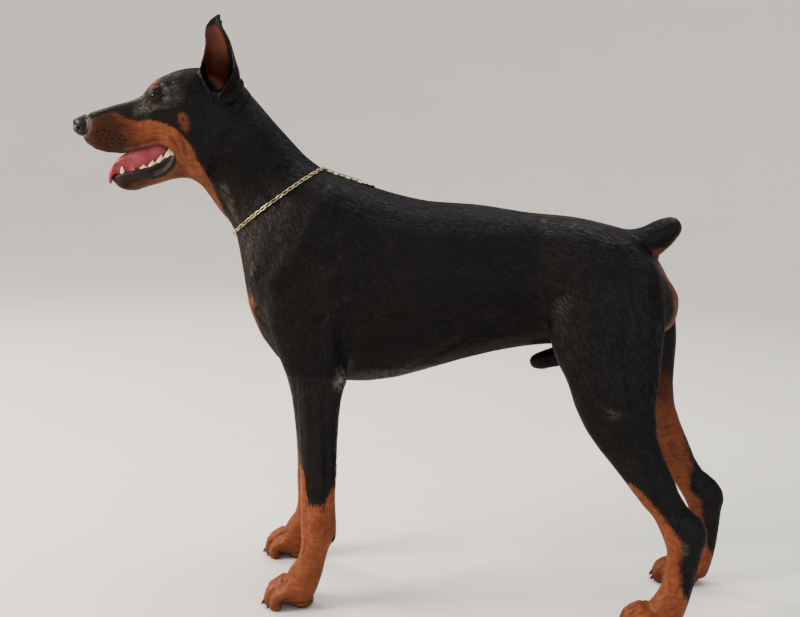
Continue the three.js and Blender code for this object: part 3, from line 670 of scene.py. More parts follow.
def sculpt_lids(skin):
    """Closes each eye's skin to an almond opening with a raised rim round the ball."""
    half_width, above, below = 7.6, 3.9, 3.1
    # The opening lies to the side of the head and rises toward its outer corner.
    look = np.array(EYE_OPENING) / np.linalg.norm(EYE_OPENING)
    across = np.cross(look, [0, 0, 1])
    across /= np.linalg.norm(across)
    over = np.cross(across, look)
    points = points_of(skin)
    at = straight(points)
    around = np.zeros(len(points))
    for side in SIDES:
        centre = np.array([EYE["x"], side * EYE["out"], EYE["z"]])
        near = np.nonzero(np.linalg.norm(at - centre, axis=1) < 24)[0]
        rel = (at[near] - centre) * [1, side, 1]
        reach = np.linalg.norm(rel, axis=1)
        u = rel @ across / reach * EYE["radius"]
        v = rel @ over / reach * EYE["radius"] - 0.10 * u
        front = rel @ look > 0.2 * reach
        height = np.where(v > 0, above, below) * np.clip(1 - np.abs(u / half_width) ** 2.2, 0, 1) ** 0.8
        gap = np.where(np.abs(u) < half_width, np.abs(v) - height, np.hypot(np.abs(u) - half_width, v))
        rim = EYE["radius"] + np.interp(gap, [-1.0, 0.0, 0.9, 2.4, 5.0], [-2.0, 0.1, 1.6, 1.8, 1.6])
        hold = ramp(gap, 8.0, 2.5) * front
        new = reach * (1 - hold) + rim * hold
        points[near] = placed(centre + rel * (new / reach)[:, None] * [1, side, 1])
        around[near] = np.maximum(around[near], ramp(gap, 1.5, 3.0) * ramp(gap, 14.0, 9.0))
    move_points(skin, points)
    smooth(skin, around, 10)


def build_skin(settings):
    """The whole skin, fine at the face and feet and coarser elsewhere, with its markings and its material."""
    skin = draw_skin(settings.voxel)
    at = straight(points_of(skin))
    detailed = on_head(at) | on_paws(at)
    thin_out(skin, ~detailed, int(detailed.sum()) + 50000)
    for reach in (20, 15):
        subdivide_where(skin, near_eyes(straight(points_of(skin)), reach))
    sculpt(skin, BODY_STROKES + RIB_STROKES + LEG_STROKES + HEAD_STROKES + toe_strokes())
    flank = [(240, 96, 570), (250, 104, 530), (262, 108, 480)]
    smooth(skin, ramp(line_gap(squared(straight(points_of(skin))), flank), 40, 15), 40)
    sculpt_lids(skin)
    at = straight(points_of(skin))
    # Under the nose leather the skin is sunk, so that the leather stands proud of it.
    under = ramp(inside(NOSE_OUTLINE, at[:, 0], at[:, 2]), -0.5, 2.5)
    move_points(skin, points_of(skin) - normals_of(skin) * under[:, None] * 1.4 * MM)
    fine = near_eyes(at, 16) | (inside(MOUTH, at[:, 0], at[:, 2]) > -7)
    thin_out(skin, on_paws(at) | (on_head(at) & ~fine), settings.corners - 10400)
    skin = join_ears(skin)
    move_points(skin, within_box(points_of(skin)))
    at = straight(points_of(skin))
    paint(skin, at, turn_ways(normals_of(skin), at, back=True))
    skin.data.materials.append(coat_material("short_coat_skin", False, settings))
    return finish_piece(skin, "black_coat", *FLESH)


# Markings

# Muzzle, cheeks and throat, and the dark of the lower lip, as outlines in side view
RUST_HEAD = [(-506, 785), (-500, 793), (-489, 798), (-476, 802), (-465, 803), (-449, 794), (-434, 789),
             (-416, 793), (-395, 790), (-374, 782), (-362, 770), (-354, 760), (-345, 750), (-340, 734),
             (-333, 721), (-321, 699), (-310, 672), (-298, 648), (-286, 628), (-276, 612), (-420, 600),
             (-560, 650), (-560, 785)]
LOWER_LIP_DARK = [(-500, 720), (-462, 713), (-430, 712), (-409, 711), (-392, 718), (-378, 732), (-372, 742),
                  (-371, 728), (-377, 716), (-390, 706), (-408, 699), (-428, 696), (-442, 690), (-450, 683),
                  (-462, 678), (-500, 680)]
# The brow spot, and the cheek spot in two balls
RUST_SPOTS = [((-405, 28, 845), (9, 9, 7.5)), ((-361, 56, 796), (8, 12, 9)), ((-357, 56, 786), (7, 12, 10))]


def rust_depth(at):
    """How far inside a rust marking each place lies, in mm."""
    square = squared(at)
    x, out, z = square.T
    depth = np.maximum(np.minimum(inside(RUST_HEAD, x, z), past_nape(x, z) + 14), -FAR)
    for centre, radii in RUST_SPOTS:
        depth = np.maximum(depth, ball(square, centre, radii))
    # Two patches on the breast, wide above and pointed below, with a black line between
    chest = np.minimum.reduce([x + 320, -196 - x, out - 4, 62 - out - 0.5 * (520 - z), z - 412,
                               (522 - z - 0.35 * np.abs(out - 30)) * 0.8])
    depth = np.maximum(depth, np.where(x < -150, chest * 0.7, -FAR))
    # Forelegs: low outside, higher in front and behind, highest inside
    behind = (x + 126) / 28
    outer = (out - 93) / 24
    top = 186 + 30 * ramp(behind, 0.45, 1.0) + 62 * ramp(behind, -0.35, -0.75) + 92 * ramp(outer, 0.0, -0.7)
    fore = np.where(x < 60, top - z, -FAR)
    depth = np.maximum(depth, np.minimum(fore * 0.4, FAR))
    # Hind legs: inside from the thigh down to the hock, a strip down the front, and the paw
    axis = np.interp(z, [0, 60, 110, 160, 200, 250, 300, 350, 400],
                     [430, 448, 460, 466, 440, 400, 370, 350, 340])
    edge = np.interp(z, [20, 50, 80, 110, 150, 200, 240, 262], [-60, -34, -6, 4, 10, 16, 22, 34])
    strip = np.minimum(axis - x - edge, 252 - z)
    back_edge = np.interp(z, [150, 180, 219, 278, 330, 400], [432, 436, 446, 424, 408, 392])
    inner = np.minimum.reduce([88 - out, (400 - z - 0.5 * np.abs(x - 372)) * 0.5, back_edge - x, x - 290])
    groin = np.minimum.reduce([52 - out, 456 - z, z - 300, x - 292, 352 - x])
    hind = np.where(x > 180, np.maximum.reduce([strip, inner, groin, 40 - z]), -FAR)
    depth = np.maximum(depth, np.minimum(hind * 0.55, FAR))
    # Under the tail and down between the thighs
    rear = np.minimum.reduce([x - 384, 29 - out, z - 478, 604 - z])
    under_tail = np.minimum.reduce([13 - out, z - 590, (x - 398) * 0.77 - (z - 596) * 0.64 - 3, 634 - z])
    depth = np.maximum(depth, np.where(x > 300, np.maximum(rear, under_tail), -FAR))
    return np.clip(depth, -FAR, FAR)


def flesh_depth(at):
    """How far inside the lining of the mouth each place lies, in mm."""
    square = mirrored(at)
    x, out, z = square.T
    upper, lower = np.array(UPPER_LIP), np.array(LOWER_LIP)
    share = ramp(z, np.interp(x, lower[:, 0], lower[:, 2]), np.interp(x, upper[:, 0], upper[:, 2]))
    wall = (np.interp(x, lower[:, 0], lower[:, 1]) * (1 - share)
            + np.interp(x, upper[:, 0], upper[:, 1]) * share)
    low = np.interp(x, [-480, -466, -452, -418, -399, -383], [698, 701, 704, 704, 708, 716])
    high = np.interp(x, [-515, -490, -430, -385], [772, 772, 774, 774])
    deep = np.minimum.reduce([wall - 3.0 - out, z - low, high - z, x + 509, -368 - x])
    gums = 6.4 - np.minimum(line_gap(square, LOWER_GUM), line_gap(square, UPPER_GUM))
    cheek = np.minimum.reduce([wall - 0.5 - out, z - low - 2, high - 8 - z, x + 500, -372 - x])
    return np.clip(np.maximum.reduce([deep, np.minimum(gums, wall + 1.5 - out), cheek]), -FAR, FAR)


NOSE_OUTLINE = [(-545, 755), (-521, 762), (-511, 768), (-504, 777), (-503, 787), (-508, 796), (-517, 803),
                (-545, 812)]
EAR_OPENING = [(-326, 930), (-333, 908), (-331, 885), (-325, 866), (-315, 850), (-306, 839), (-298, 842),
               (-290, 856), (-288, 884), (-291, 906), (-298, 926), (-308, 938), (-316, 936)]


def ear_inside(at, normals):
    """How far within the open inner face of the ear, in mm, negative on its back and rims."""
    x, y, z = at.T
    facing = normals[:, 0] * -0.42 + normals[:, 1] * np.sign(y) * 0.9
    off_skull = np.maximum(z - 872, np.abs(y) - 19)
    depth = np.minimum.reduce([inside(EAR_OPENING, x, z), (facing - 0.05) * 12, off_skull])
    return np.where(z > 825, depth, -FAR)


def soot_and_shade_of(square):
    """How far the rust is darkened, 0 to 1, by black hairs and in places by painted shade."""
    x, out, z = square.T
    return np.maximum.reduce([
        # The front of the upper lip and the whole lower lip
        ramp(x + 0.45 * (z - 775), -418, -468) * ramp(z, 735, 742),
        1.15 * ramp(inside(LOWER_LIP_DARK, x, z), -3, 2) * ramp(x, -366, -376),
        # Round the cheek spot and the brow spot
        0.55 * ramp(reach_of(square, (-360, 56, 792), (14, 16, 16)), 1.3, 0.9),
        0.5 * ramp(reach_of(square, (-405, 28, 845), (14, 16, 12)), 1.3, 0.9),
        # Under the chin, behind the corner of the mouth, and the throat
        0.75 * ramp(z, 716, 700) * ramp(x, -380, -430) * ramp(z, 660, 680),
        0.5 * ramp(x, -395, -375) * ramp(z, 772, 758) * ramp(x, -350, -365),
        0.45 * ramp(x, -300, -296) * ramp(x, -240, -260) * ramp(z, 640, 660),
        # Inner thigh and inner hind leg, painted shade in the groove before the hock's tendon, and the toes
        0.95 * ramp(z, 290, 370) * ramp(z, 460, 430) * ramp(x, 280, 300) * ramp(out, 92, 84),
        0.35 * ramp(z, 90, 120) * ramp(x, 280, 300) * ramp(out, 88, 80),
        0.6 * ramp(line_gap(square, [(424, 78, 262), (450, 76, 214), (470, 78, 170)]), 9, 3),
        0.45 * ramp(z, 40, 6)])


# Where grey hairs and bare callus make the coat paler, and painted sheen and highlights lighten it: how much,
# 0 to 1, in balls of a centre and radii, and along lines, with how far away each begins and is full
PALE_AND_SHEEN_BALLS = [
    (0.16, (-396, 42, 815), (16, 18, 8), 1.25, 0.6),
    (0.1, (-392, 38, 842), (8, 18, 8), 1.25, 0.6),
    (0.07, (-372, 30, 866), (22, 16, 9), 1.3, 0.6),
    (0.35, (-246, 64, 606), (34, 46, 60), 1.3, 0.0),
    (0.75, (-88, 104, 392), (14, 20, 26), 1.2, 0.2),
    (0.10, (200, 0, 668), (190, 60, 22), 1.3, 0.3),
    (0.4, (338, 120, 366), (14, 14, 8), 1.3, 0.1),
    (0.45, (458, 110, 150), (10, 14, 14), 1.3, 0.1),
]
PALE_AND_SHEEN_LINES = [
    (0.12, [(-530, 0, 802), (-480, 8, 815), (-430, 12, 832)], 11, 4),
    (0.7, [(-240, 74, 575), (-252, 60, 540), (-244, 56, 505)], 9, 2),
    (0.35, [(-268, 48, 640), (-300, 40, 690)], 14, 4),
    (0.15, [(-188, 98, 420), (-170, 100, 390), (-162, 102, 300), (-156, 98, 190)], 9, 3),
]


def pale_and_sheen_of(square):
    """How much paler the coat is at each place, 0 to 1, from grey hairs, callus and painted sheen."""
    balls = [most * ramp(reach_of(square, centre, radii), far, near)
             for most, centre, radii, far, near in PALE_AND_SHEEN_BALLS]
    lines = [most * ramp(line_gap(square, line), far, near) for most, line, far, near in PALE_AND_SHEEN_LINES]
    return np.maximum.reduce(balls + lines)


def lip_depth(square):
    """How far inside the dark rims of the lips and eyelids each place lies, in mm."""
    x, out, z = square.T
    gum, lip = np.array(LOWER_GUM, float), np.array(LOWER_LIP, float)
    # The fold of lip beside the cheek teeth is dark too.
    fold = np.minimum.reduce([out - np.interp(x, gum[:, 0], gum[:, 1]) - 2.8 * ramp(x, -410, -440),
                              np.interp(x, gum[:, 0], gum[:, 2]) + 6.5 - z, (x + 455) * 0.3, -374 - x,
                              z - np.interp(x, lip[:, 0], lip[:, 2]) + 1])
    lids = 8.8 - np.linalg.norm(square - [EYE["x"], EYE["out"] + 8, EYE["z"]], axis=1)
    rims = np.maximum(4.9 - line_gap(square, LOWER_LIP), 2.4 - line_gap(square, UPPER_LIP))
    return np.clip(np.maximum.reduce([rims, fold, lids]), -FAR, FAR)


def paint(skin, at, normals):
    """Stores rust, soot and painted shade, and pale hair and painted sheen as on the coat, and where it is
    bare.
    """
    square = squared(at)
    stopper = ball(square, (-98, 97, 124), (8, 8, 9))
    soles = np.where(normals[:, 2] < -0.55, 7 - square[:, 2], -FAR)
    leather = inside(NOSE_OUTLINE, square[:, 0], square[:, 2])
    store(skin, "rust", rust_depth(at))
    store(skin, "flesh", flesh_depth(at))
    store(skin, "lip", lip_depth(square))
    store(skin, "ear", ear_inside(at, normals))
    store(skin, "soot_and_shade", soot_and_shade_of(square))
    store(skin, "bare", np.clip(np.maximum.reduce([stopper, soles, leather]), -FAR, FAR))
    store(skin, "pale_and_sheen", pale_and_sheen_of(square))
    # How deep each place lies in a crease, for the painted shade laid in the creases.
    store(skin, "hollow", np.clip(hollows(skin), -2, 2))


# Finishes

def coat_material(name, tufted, settings):
    """Short dog hair, oily and lying flat: black with a warm grey sheen, partly painted, rust where the breed
    is marked.
    """
    material, tree, shader = new_material(name)
    place = node(tree, "ShaderNodeTexCoord", {}, "Object")
    # Patches some 45 mm across, in which the hair lies a little differently, give the black its depth.
    patch = node(tree, "ShaderNodeTexNoise", {"Vector": place, "Scale": every(45.4545), **GRAIN})
    # A hair is 0.06 mm thick, which is too fine to show, so streaks are drawn at 3.8 mm and the ragged
    # borders of the markings at 2.4 mm, as coarse as they need to be to show.
    along = {"Vector": place, "Scale": (0.14, 1, 0.6), "Rotation": (0, 0.5, 0)}
    streak = node(tree, "ShaderNodeTexNoise", {
        "Vector": node(tree, "ShaderNodeMapping", along), "Scale": every(3.84615), "Detail": 4.0,
        "Roughness": 0.6})
    down = {"Vector": place, "Scale": (0.3, 1, 0.3)}
    ragged = node(tree, "ShaderNodeTexNoise", {
        "Vector": node(tree, "ShaderNodeMapping", down), "Scale": every(2.38095), **GRAIN})
    # Black hair, with painted shade between its locks and painted light on their tops
    light = node(tree, "ShaderNodeMapRange", {0: streak, 1: 0.3, 2: 0.75})
    black = node(tree, "ShaderNodeMix", {
        0: light, 6: shaded(settings.black, 0.34, 0.36, 0.38), 7: shaded(settings.black)}, **COLOURS)
    warm = node(tree, "ShaderNodeMapRange", {0: patch, 1: 0.35, 2: 0.8, 3: 0.0, 4: 0.5})
    black = node(tree, "ShaderNodeMix", {
        0: warm, 6: black, 7: shaded(settings.black, 1.25, 0.95, 0.85)}, **COLOURS)
    # Rust hair, with painted shade between its locks and darker patches, and darkened by black hairs and in
    # places by painted shade
    light = node(tree, "ShaderNodeMapRange", {0: streak, 1: 0.25, 2: 0.8})
    rust = node(tree, "ShaderNodeMix", {
        0: light, 6: shaded(settings.rust, 0.50, 0.41, 0.45), 7: shaded(settings.rust)}, **COLOURS)
    dark = node(tree, "ShaderNodeMapRange", {0: patch, 1: 0.4, 2: 0.75, 3: 0.0, 4: 0.6})
    rust = node(tree, "ShaderNodeMix", {
        0: dark, 6: rust, 7: shaded(settings.rust, 0.34, 0.28, 0.26)}, **COLOURS)
    soot_and_shade = node(tree, "ShaderNodeAttribute", {}, "Fac", attribute_name="soot_and_shade")
    soot_and_shade = node(tree, "ShaderNodeMath", {0: soot_and_shade, 1: 0.8}, operation="MULTIPLY")
    rust = node(tree, "ShaderNodeMix", {0: soot_and_shade, 6: rust, 7: linear("#25130e")}, **COLOURS)
    # The border between them wavers by a few millimetres.
    depth = node(tree, "ShaderNodeAttribute", {}, "Fac", attribute_name="rust")
    waver = node(tree, "ShaderNodeMath", {0: ragged, 1: 0.5}, operation="SUBTRACT")
    edge = node(tree, "ShaderNodeMath", {0: waver, 1: 7.0, 2: depth}, operation="MULTIPLY_ADD")
    edge = node(tree, "ShaderNodeMapRange", {0: edge, 1: -1.6, 2: 2.2})
    colour = node(tree, "ShaderNodeMix", {0: edge, 6: black, 7: rust}, **COLOURS)
    # Grey hairs and callus make the coat paler, and painted sheen lightens it, in streaks toward a warm grey.
    pale_and_sheen = node(tree, "ShaderNodeAttribute", {}, "Fac", attribute_name="pale_and_sheen")
    grey = node(tree, "ShaderNodeMapRange", {0: streak, 1: 0.4, 2: 0.66, 3: 0.1, 4: 1.2})
    pale_and_sheen = node(tree, "ShaderNodeMath", {0: pale_and_sheen, 1: grey}, operation="MULTIPLY")
    pale_and_sheen = node(tree, "ShaderNodeMath", {0: pale_and_sheen, 1: 0.75}, operation="MULTIPLY")
    colour = node(tree, "ShaderNodeMix", {0: pale_and_sheen, 6: colour, 7: linear("#84766b")}, **COLOURS)
    if tufted:
        # Each tuft is darker at its root than at its tip, painted shade from the tufts over it, and no two
        # are quite alike.
        tip = node(tree, "ShaderNodeAttribute", {}, "Fac", attribute_name="tip")
        tip = node(tree, "ShaderNodeMapRange", {0: tip, 1: 0.0, 2: 1.0, 3: 0.78, 4: 1.1})
        shade = node(tree, "ShaderNodeAttribute", {}, "Fac", attribute_name="shade")
        shade = node(tree, "ShaderNodeMapRange", {0: shade, 1: 0.0, 2: 1.0, 3: 0.78, 4: 1.24})
        level = node(tree, "ShaderNodeMath", {0: tip, 1: shade}, operation="MULTIPLY")
        grey = node(tree, "ShaderNodeCombineColor", {0: level, 1: level, 2: level})
        colour = node(tree, "ShaderNodeMix", {0: 1.0, 6: colour, 7: grey}, blend_type="MULTIPLY", **COLOURS)
        fill(tree, shader, {"Roughness": 0.55, "Specular IOR Level": 0.22})
    else:
        # Bare places lie over the hair one by one: the ear's inside, pads, painted shade in creases, mouth
        # and lips.
        depths = {}
        for key, low, high in (
                ("ear", -1.5, 2.5), ("bare", -0.4, 0.5), ("flesh", 0.0, 1.5), ("lip", -0.9, 0.9)):
            depth = node(tree, "ShaderNodeAttribute", {}, "Fac", attribute_name=key)
            depths[key] = node(tree, "ShaderNodeMapRange", {0: depth, 1: low, 2: high})
        hollow = node(tree, "ShaderNodeAttribute", {}, "Fac", attribute_name="hollow")
        hollow = node(tree, "ShaderNodeMapRange", {0: hollow, 1: 0.15, 2: 1.1, 3: 0.0, 4: 0.75})
        tones = {}
        for key, pattern, low, high, first, second in (
                ("ear", patch, 0.35, 0.7, "#5e2f1b", "#3a1c12"),
                ("bare", ragged, 0.3, 0.8, "#0c0b0c", "#1f1a1b"),
                ("flesh", patch, 0.3, 0.7, "#a04a54", "#6c2733"),
                ("lip", ragged, 0.3, 0.75, "#0d0a0b", "#2c2120")):
            share = node(tree, "ShaderNodeMapRange", {0: pattern, 1: low, 2: high})
            tones[key] = node(tree, "ShaderNodeMix", {
                0: share, 6: linear(first), 7: linear(second)}, **COLOURS)
        # Painted shade: the mouth's flesh darkens in its creases, and every crease of the skin toward near
        # black.
        tones["flesh"] = node(tree, "ShaderNodeMix", {
            0: hollow, 6: tones["flesh"], 7: linear("#3a1016")}, **COLOURS)
        for factor, tone in (
                (depths["ear"], tones["ear"]), (depths["bare"], tones["bare"]), (hollow, linear("#060505")),
                (depths["flesh"], tones["flesh"]), (depths["lip"], tones["lip"])):
            colour = node(tree, "ShaderNodeMix", {0: factor, 6: colour, 7: tone}, **COLOURS)
        wet = node(tree, "ShaderNodeMath", {0: depths["flesh"], 1: depths["lip"]}, operation="SUBTRACT")
        gloss = node(tree, "ShaderNodeMapRange", {0: wet, 1: 0.0, 2: 1.0, 3: 0.5, 4: 0.25})
        bump = node(tree, "ShaderNodeBump", {"Strength": 0.35, "Distance": 0.6 * MM, "Height": streak})
        fill(tree, shader, {"Roughness": gloss, "Normal": bump, "Specular IOR Level": 0.3})
    fill(tree, shader, {
        "Base Color": colour, "IOR": 1.5, "Sheen Weight": 0.03, "Sheen Roughness": 0.4,
        "Sheen Tint": linear("#b9aca0")})
    return material


def wet_eye():
    """Cornea over a dark brown iris, wet, so that it mirrors the light in a small bright spot."""
    material, tree, shader = new_material("wet_eye")
    place = node(tree, "ShaderNodeTexCoord", {}, "Object")
    # The iris's fibres are about 0.1 mm thick, and are drawn coarser, at 1.1 mm, to show.
    fibres = node(tree, "ShaderNodeTexNoise", {"Vector": place, "Scale": every(1.11111), **FINE_GRAIN})
    colour = node(tree, "ShaderNodeMix", {0: fibres, 6: linear("#160a05"), 7: linear("#2e170c")}, **COLOURS)
    radius = node(tree, "ShaderNodeAttribute", {}, "Fac", attribute_name="iris")
    # Millimetres from the middle of the gaze: the pupil ends, the iris darkens to its rim, the white begins.
    pupil = node(tree, "ShaderNodeMapRange", {0: radius, 1: 2.4, 2: 2.9})
    colour = node(tree, "ShaderNodeMix", {0: pupil, 6: linear("#020202"), 7: colour}, **COLOURS)
    for start, end, tone in ((5.6, 6.4, "#0c0706"), (7.0, 8.2, "#5c4a44")):
        share = node(tree, "ShaderNodeMapRange", {0: radius, 1: start, 2: end})
        colour = node(tree, "ShaderNodeMix", {0: share, 6: colour, 7: linear(tone)}, **COLOURS)
    fill(tree, shader, {
        "Base Color": colour, "Roughness": 0.07, "IOR": 1.34, "Coat Weight": 0.3, "Coat Roughness": 0.02})
    return material


def nose_leather():
    """Bare, pebbled and moist, so that it is nearly black with soft broken highlights."""
    material, tree, shader = new_material("nose_leather")
    place = node(tree, "ShaderNodeTexCoord", {}, "Object")
    # A nose's pebbles are about 1 mm across, and are drawn at 1.6 mm to show.
    pebbles = node(tree, "ShaderNodeTexVoronoi", {"Vector": place, "Scale": every(1.6129)}, "Distance")
    # Painted shade darkens the crevices between the pebbles.
    share = node(tree, "ShaderNodeMapRange", {0: pebbles, 1: 0.1, 2: 0.7})
    colour = node(tree, "ShaderNodeMix", {0: share, 6: linear("#141416"), 7: linear("#09090a")}, **COLOURS)
    # Painted shade darkens the nostrils and the groove as deep as they are sunk.
    hollow = node(tree, "ShaderNodeAttribute", {}, "Fac", attribute_name="hollow")
    hollow = node(tree, "ShaderNodeMapRange", {0: hollow, 1: 0.6, 2: 2.2})
    colour = node(tree, "ShaderNodeMix", {0: hollow, 6: colour, 7: linear("#010101")}, **COLOURS)
    bump = node(tree, "ShaderNodeBump", {
        "Strength": 0.15, "Distance": 0.3 * MM, "Height": pebbles}, invert=True)
    fill(tree, shader, {"Base Color": colour, "Normal": bump, "Roughness": 0.46, "IOR": 1.4})
    return material


def wet_tongue():
    """Moist and finely papillate: pink, with painted shade along its sides and below, and a broken wet shine.
    """
    material, tree, shader = new_material("wet_tongue")
    place = node(tree, "ShaderNodeTexCoord", {}, "Object")
    # Papillae stand about 0.7 mm apart, and the blood shows in patches some 17 mm across.
    papillae = node(tree, "ShaderNodeTexNoise", {"Vector": place, "Scale": every(0.714286), **FINE_GRAIN})
    patch = node(tree, "ShaderNodeTexNoise", {"Vector": place, "Scale": every(16.6667), **GRAIN})
    share = node(tree, "ShaderNodeMapRange", {0: patch, 1: 0.3, 2: 0.7})
    colour = node(tree, "ShaderNodeMix", {0: share, 6: linear("#b4565f"), 7: linear("#cf7f80")}, **COLOURS)
    # Painted shade darkens the tongue where it faces sideways and down.
    under = node(tree, "ShaderNodeAttribute", {}, "Fac", attribute_name="side")
    under = node(tree, "ShaderNodeMapRange", {0: under, 1: 0.0, 2: 1.0, 3: 0.0, 4: 0.8})
    colour = node(tree, "ShaderNodeMix", {0: under, 6: colour, 7: linear("#8c3844")}, **COLOURS)
    bump = node(tree, "ShaderNodeBump", {"Strength": 0.25, "Distance": 0.3 * MM, "Height": papillae})
    fill(tree, shader, {
        "Base Color": colour, "Normal": bump, "Roughness": 0.3, "IOR": 1.4, "Subsurface Weight": 0.2,
        "Subsurface Radius": (0.004, 0.0015, 0.001), "Subsurface Scale": 1.0})
    return material


def tooth_enamel():
    """Smooth enamel, ivory with yellower clouds, so that it shines softly."""
    material, tree, shader = new_material("tooth_enamel")
    place = node(tree, "ShaderNodeTexCoord", {}, "Object")
    # The clouds are as wide as a small tooth, some 5.6 mm.
    tint = node(tree, "ShaderNodeTexNoise", {"Vector": place, "Scale": every(5.55556), **GRAIN})
    colour = node(tree, "ShaderNodeMix", {0: tint, 6: linear("#e6d3ae"), 7: linear("#cbb084")}, **COLOURS)
    fill(tree, shader, {"Base Color": colour, "Roughness": 0.22, "IOR": 1.6})
    return material


def claw_horn():
    """Dark horn, worn dull, with lines running to the tip."""
    material, tree, shader = new_material("claw_horn")
    place = node(tree, "ShaderNodeTexCoord", {}, "Object")
    # Horn is layered too finely to show, so its lines are drawn 1.4 mm apart.
    along = node(tree, "ShaderNodeMapping", {"Vector": place, "Scale": (0.2, 1, 1)})
    grain = node(tree, "ShaderNodeTexNoise", {"Vector": along, "Scale": every(1.428571), **GRAIN})
    colour = node(tree, "ShaderNodeMix", {0: grain, 6: linear("#0e0c0c"), 7: linear("#2d2420")}, **COLOURS)
    fill(tree, shader, {"Base Color": colour, "Roughness": 0.38, "IOR": 1.54})
    return material


def chain_steel(metal):
    """Drawn steel wire bent to links, gold-washed and rubbed by use: warm, and bright where it is worn."""
    material, tree, shader = new_material("chain_steel")
    place = node(tree, "ShaderNodeTexCoord", {}, "Object")
    # The rubbed places are smaller than a link, some 3.3 mm.
    rub = node(tree, "ShaderNodeTexNoise", {"Vector": place, "Scale": every(3.333333), **GRAIN})
    colour = node(tree, "ShaderNodeMix", {
        0: rub, 6: shaded(metal, 0.57, 0.48, 0.27), 7: shaded(metal)}, **COLOURS)
    dull = node(tree, "ShaderNodeMapRange", {0: rub, 1: 0.3, 2: 0.7, 3: 0.22, 4: 0.36})
    fill(tree, shader, {"Base Color": colour, "Roughness": dull, "Metallic": 1.0})
    return material


def whisker_hair():
    """Coarse stiff hair and the dark skin at its root, dull beside the coat, so that it reads as dots."""
    material, tree, shader = new_material("whisker_hair")
    fill(tree, shader, {"Base Color": linear("#140c09"), "Roughness": 0.8, "Specular IOR Level": 0.15})
    return material


def matt_studio_paint():
    """Rolled emulsion paint on a studio floor: pale, matt and very faintly clouded."""
    material, tree, shader = new_material("matt_studio_paint")
    place = node(tree, "ShaderNodeTexCoord", {}, "Object")
    # The clouds are a third of a metre wide.
    mottle = node(tree, "ShaderNodeTexNoise", {"Vector": place, "Scale": every(333.3333), **GRAIN})
    colour = node(tree, "ShaderNodeMix", {0: mottle, 6: linear("#d9d7d2"), 7: linear("#dfddd9")}, **COLOURS)
    fill(tree, shader, {"Base Color": colour, "Roughness": 0.9})
    return material


# Coat

# The lie of the coat: at each place, [x, out, z], the way the hair points
LIE = [((-505, 10, 800), (1, 0, 0.25)), ((-480, 26, 772), (1, 0.1, -0.15)),
       ((-450, 10, 688), (1, 0, -0.05)), ((-440, 34, 790), (1, 0.1, 0.0)),
       ((-372, 55, 770), (0.8, 0, -0.55)), ((-345, 56, 735), (0.5, 0, -0.85)),
       ((-405, 10, 855), (0.8, 0, 0.6)), ((-345, 10, 876), (1, 0, 0.05)), ((-345, 52, 840), (1, 0, -0.2)),
       ((-272, 20, 850), (0.7, 0, -0.7)), ((-305, 45, 900), (0.1, 0, 1)), ((-305, 50, 850), (0.2, 0, 1)),
       ((-312, 20, 680), (0.5, 0, -0.86)), ((-230, 60, 720), (0.55, 0, -0.83)),
       ((-180, 6, 765), (0.75, 0, -0.6)), ((-250, 10, 580), (0.0, 0.1, -1)),
       ((-235, 20, 470), (0.3, 0.1, -1)), ((-140, 92, 620), (0.5, 0, -0.86)),
       ((-112, 105, 500), (0.25, 0, -1)), ((-120, 105, 300), (0.05, 0, -1)),
       ((-150, 100, 130), (-0.1, 0, -1)), ((-185, 95, 35), (-0.8, 0, -0.5)), ((-60, 6, 690), (1, 0, -0.1)),
       ((80, 6, 672), (1, 0, 0)), ((40, 105, 560), (0.9, 0, -0.4)), ((0, 80, 440), (0.9, -0.2, -0.3)),
       ((120, 5, 430), (1, 0, 0.1)), ((200, 40, 660), (1, 0, -0.05)), ((330, 10, 640), (0.95, 0, -0.35)),
       ((405, 5, 655), (0.8, 0, 0.6)), ((404, 5, 600), (0.5, 0, 0.5)), ((230, 90, 520), (0.7, 0, -0.7)),
       ((330, 112, 500), (0.45, 0, -0.9)), ((405, 70, 500), (0.2, 0, -1)),
       ((360, 112, 330), (0.4, 0, -0.9)), ((420, 105, 240), (0.5, 0, -0.85)),
       ((465, 100, 180), (0.15, 0, -1)), ((455, 100, 110), (-0.1, 0, -1)), ((412, 92, 32), (-0.8, 0, -0.5)),
       ((250, 0, 425), (-1, 0, -0.2))]
# Where the coat stands off a little and is longer: chest, belly, backs of legs and thighs, throat and tail
FRINGES = [[(-262, 0, 620), (-256, 0, 560), (-236, 0, 470), (-205, 0, 430)],
           [(-180, 0, 412), (0, 0, 402), (110, 0, 436), (200, 0, 462)],
           [(408, 60, 560), (406, 84, 500), (392, 100, 400)],
           [(-84, 96, 400), (-92, 96, 300), (-98, 96, 220)],
           [(-320, 0, 690), (-290, 0, 640), (-268, 0, 600)],
           [(402, 0, 590), (426, 0, 622)],
           [(400, 100, 360), (440, 100, 270), (478, 96, 205)]]


def lie_of(square, sides):
    """The coat's direction at these places, blended from the nearest anchors."""
    total = np.zeros((len(square), 3))
    for place, way in LIE:
        weight = 1 / (((square - place) ** 2).sum(1) + 60) ** 1.5
        total += weight[:, None] * np.array(way, float)
    total[:, 1] *= sides
    return total


def hair_length(square):
    """Length of a tuft in mm: shortest on face, ears and feet."""
    x, _, z = square.T
    face = ramp(past_nape(x, z), 110, 190)
    length = 9.5 - 4.0 * ramp(z, 420, 330) - 2.0 * ramp(z, 110, 70) - 5.0 * face - ramp(x, -400, -440) * face
    return np.maximum(length, 2.9)


def surface_of(obj):
    return BVHTree.FromObject(obj, bpy.context.evaluated_depsgraph_get())


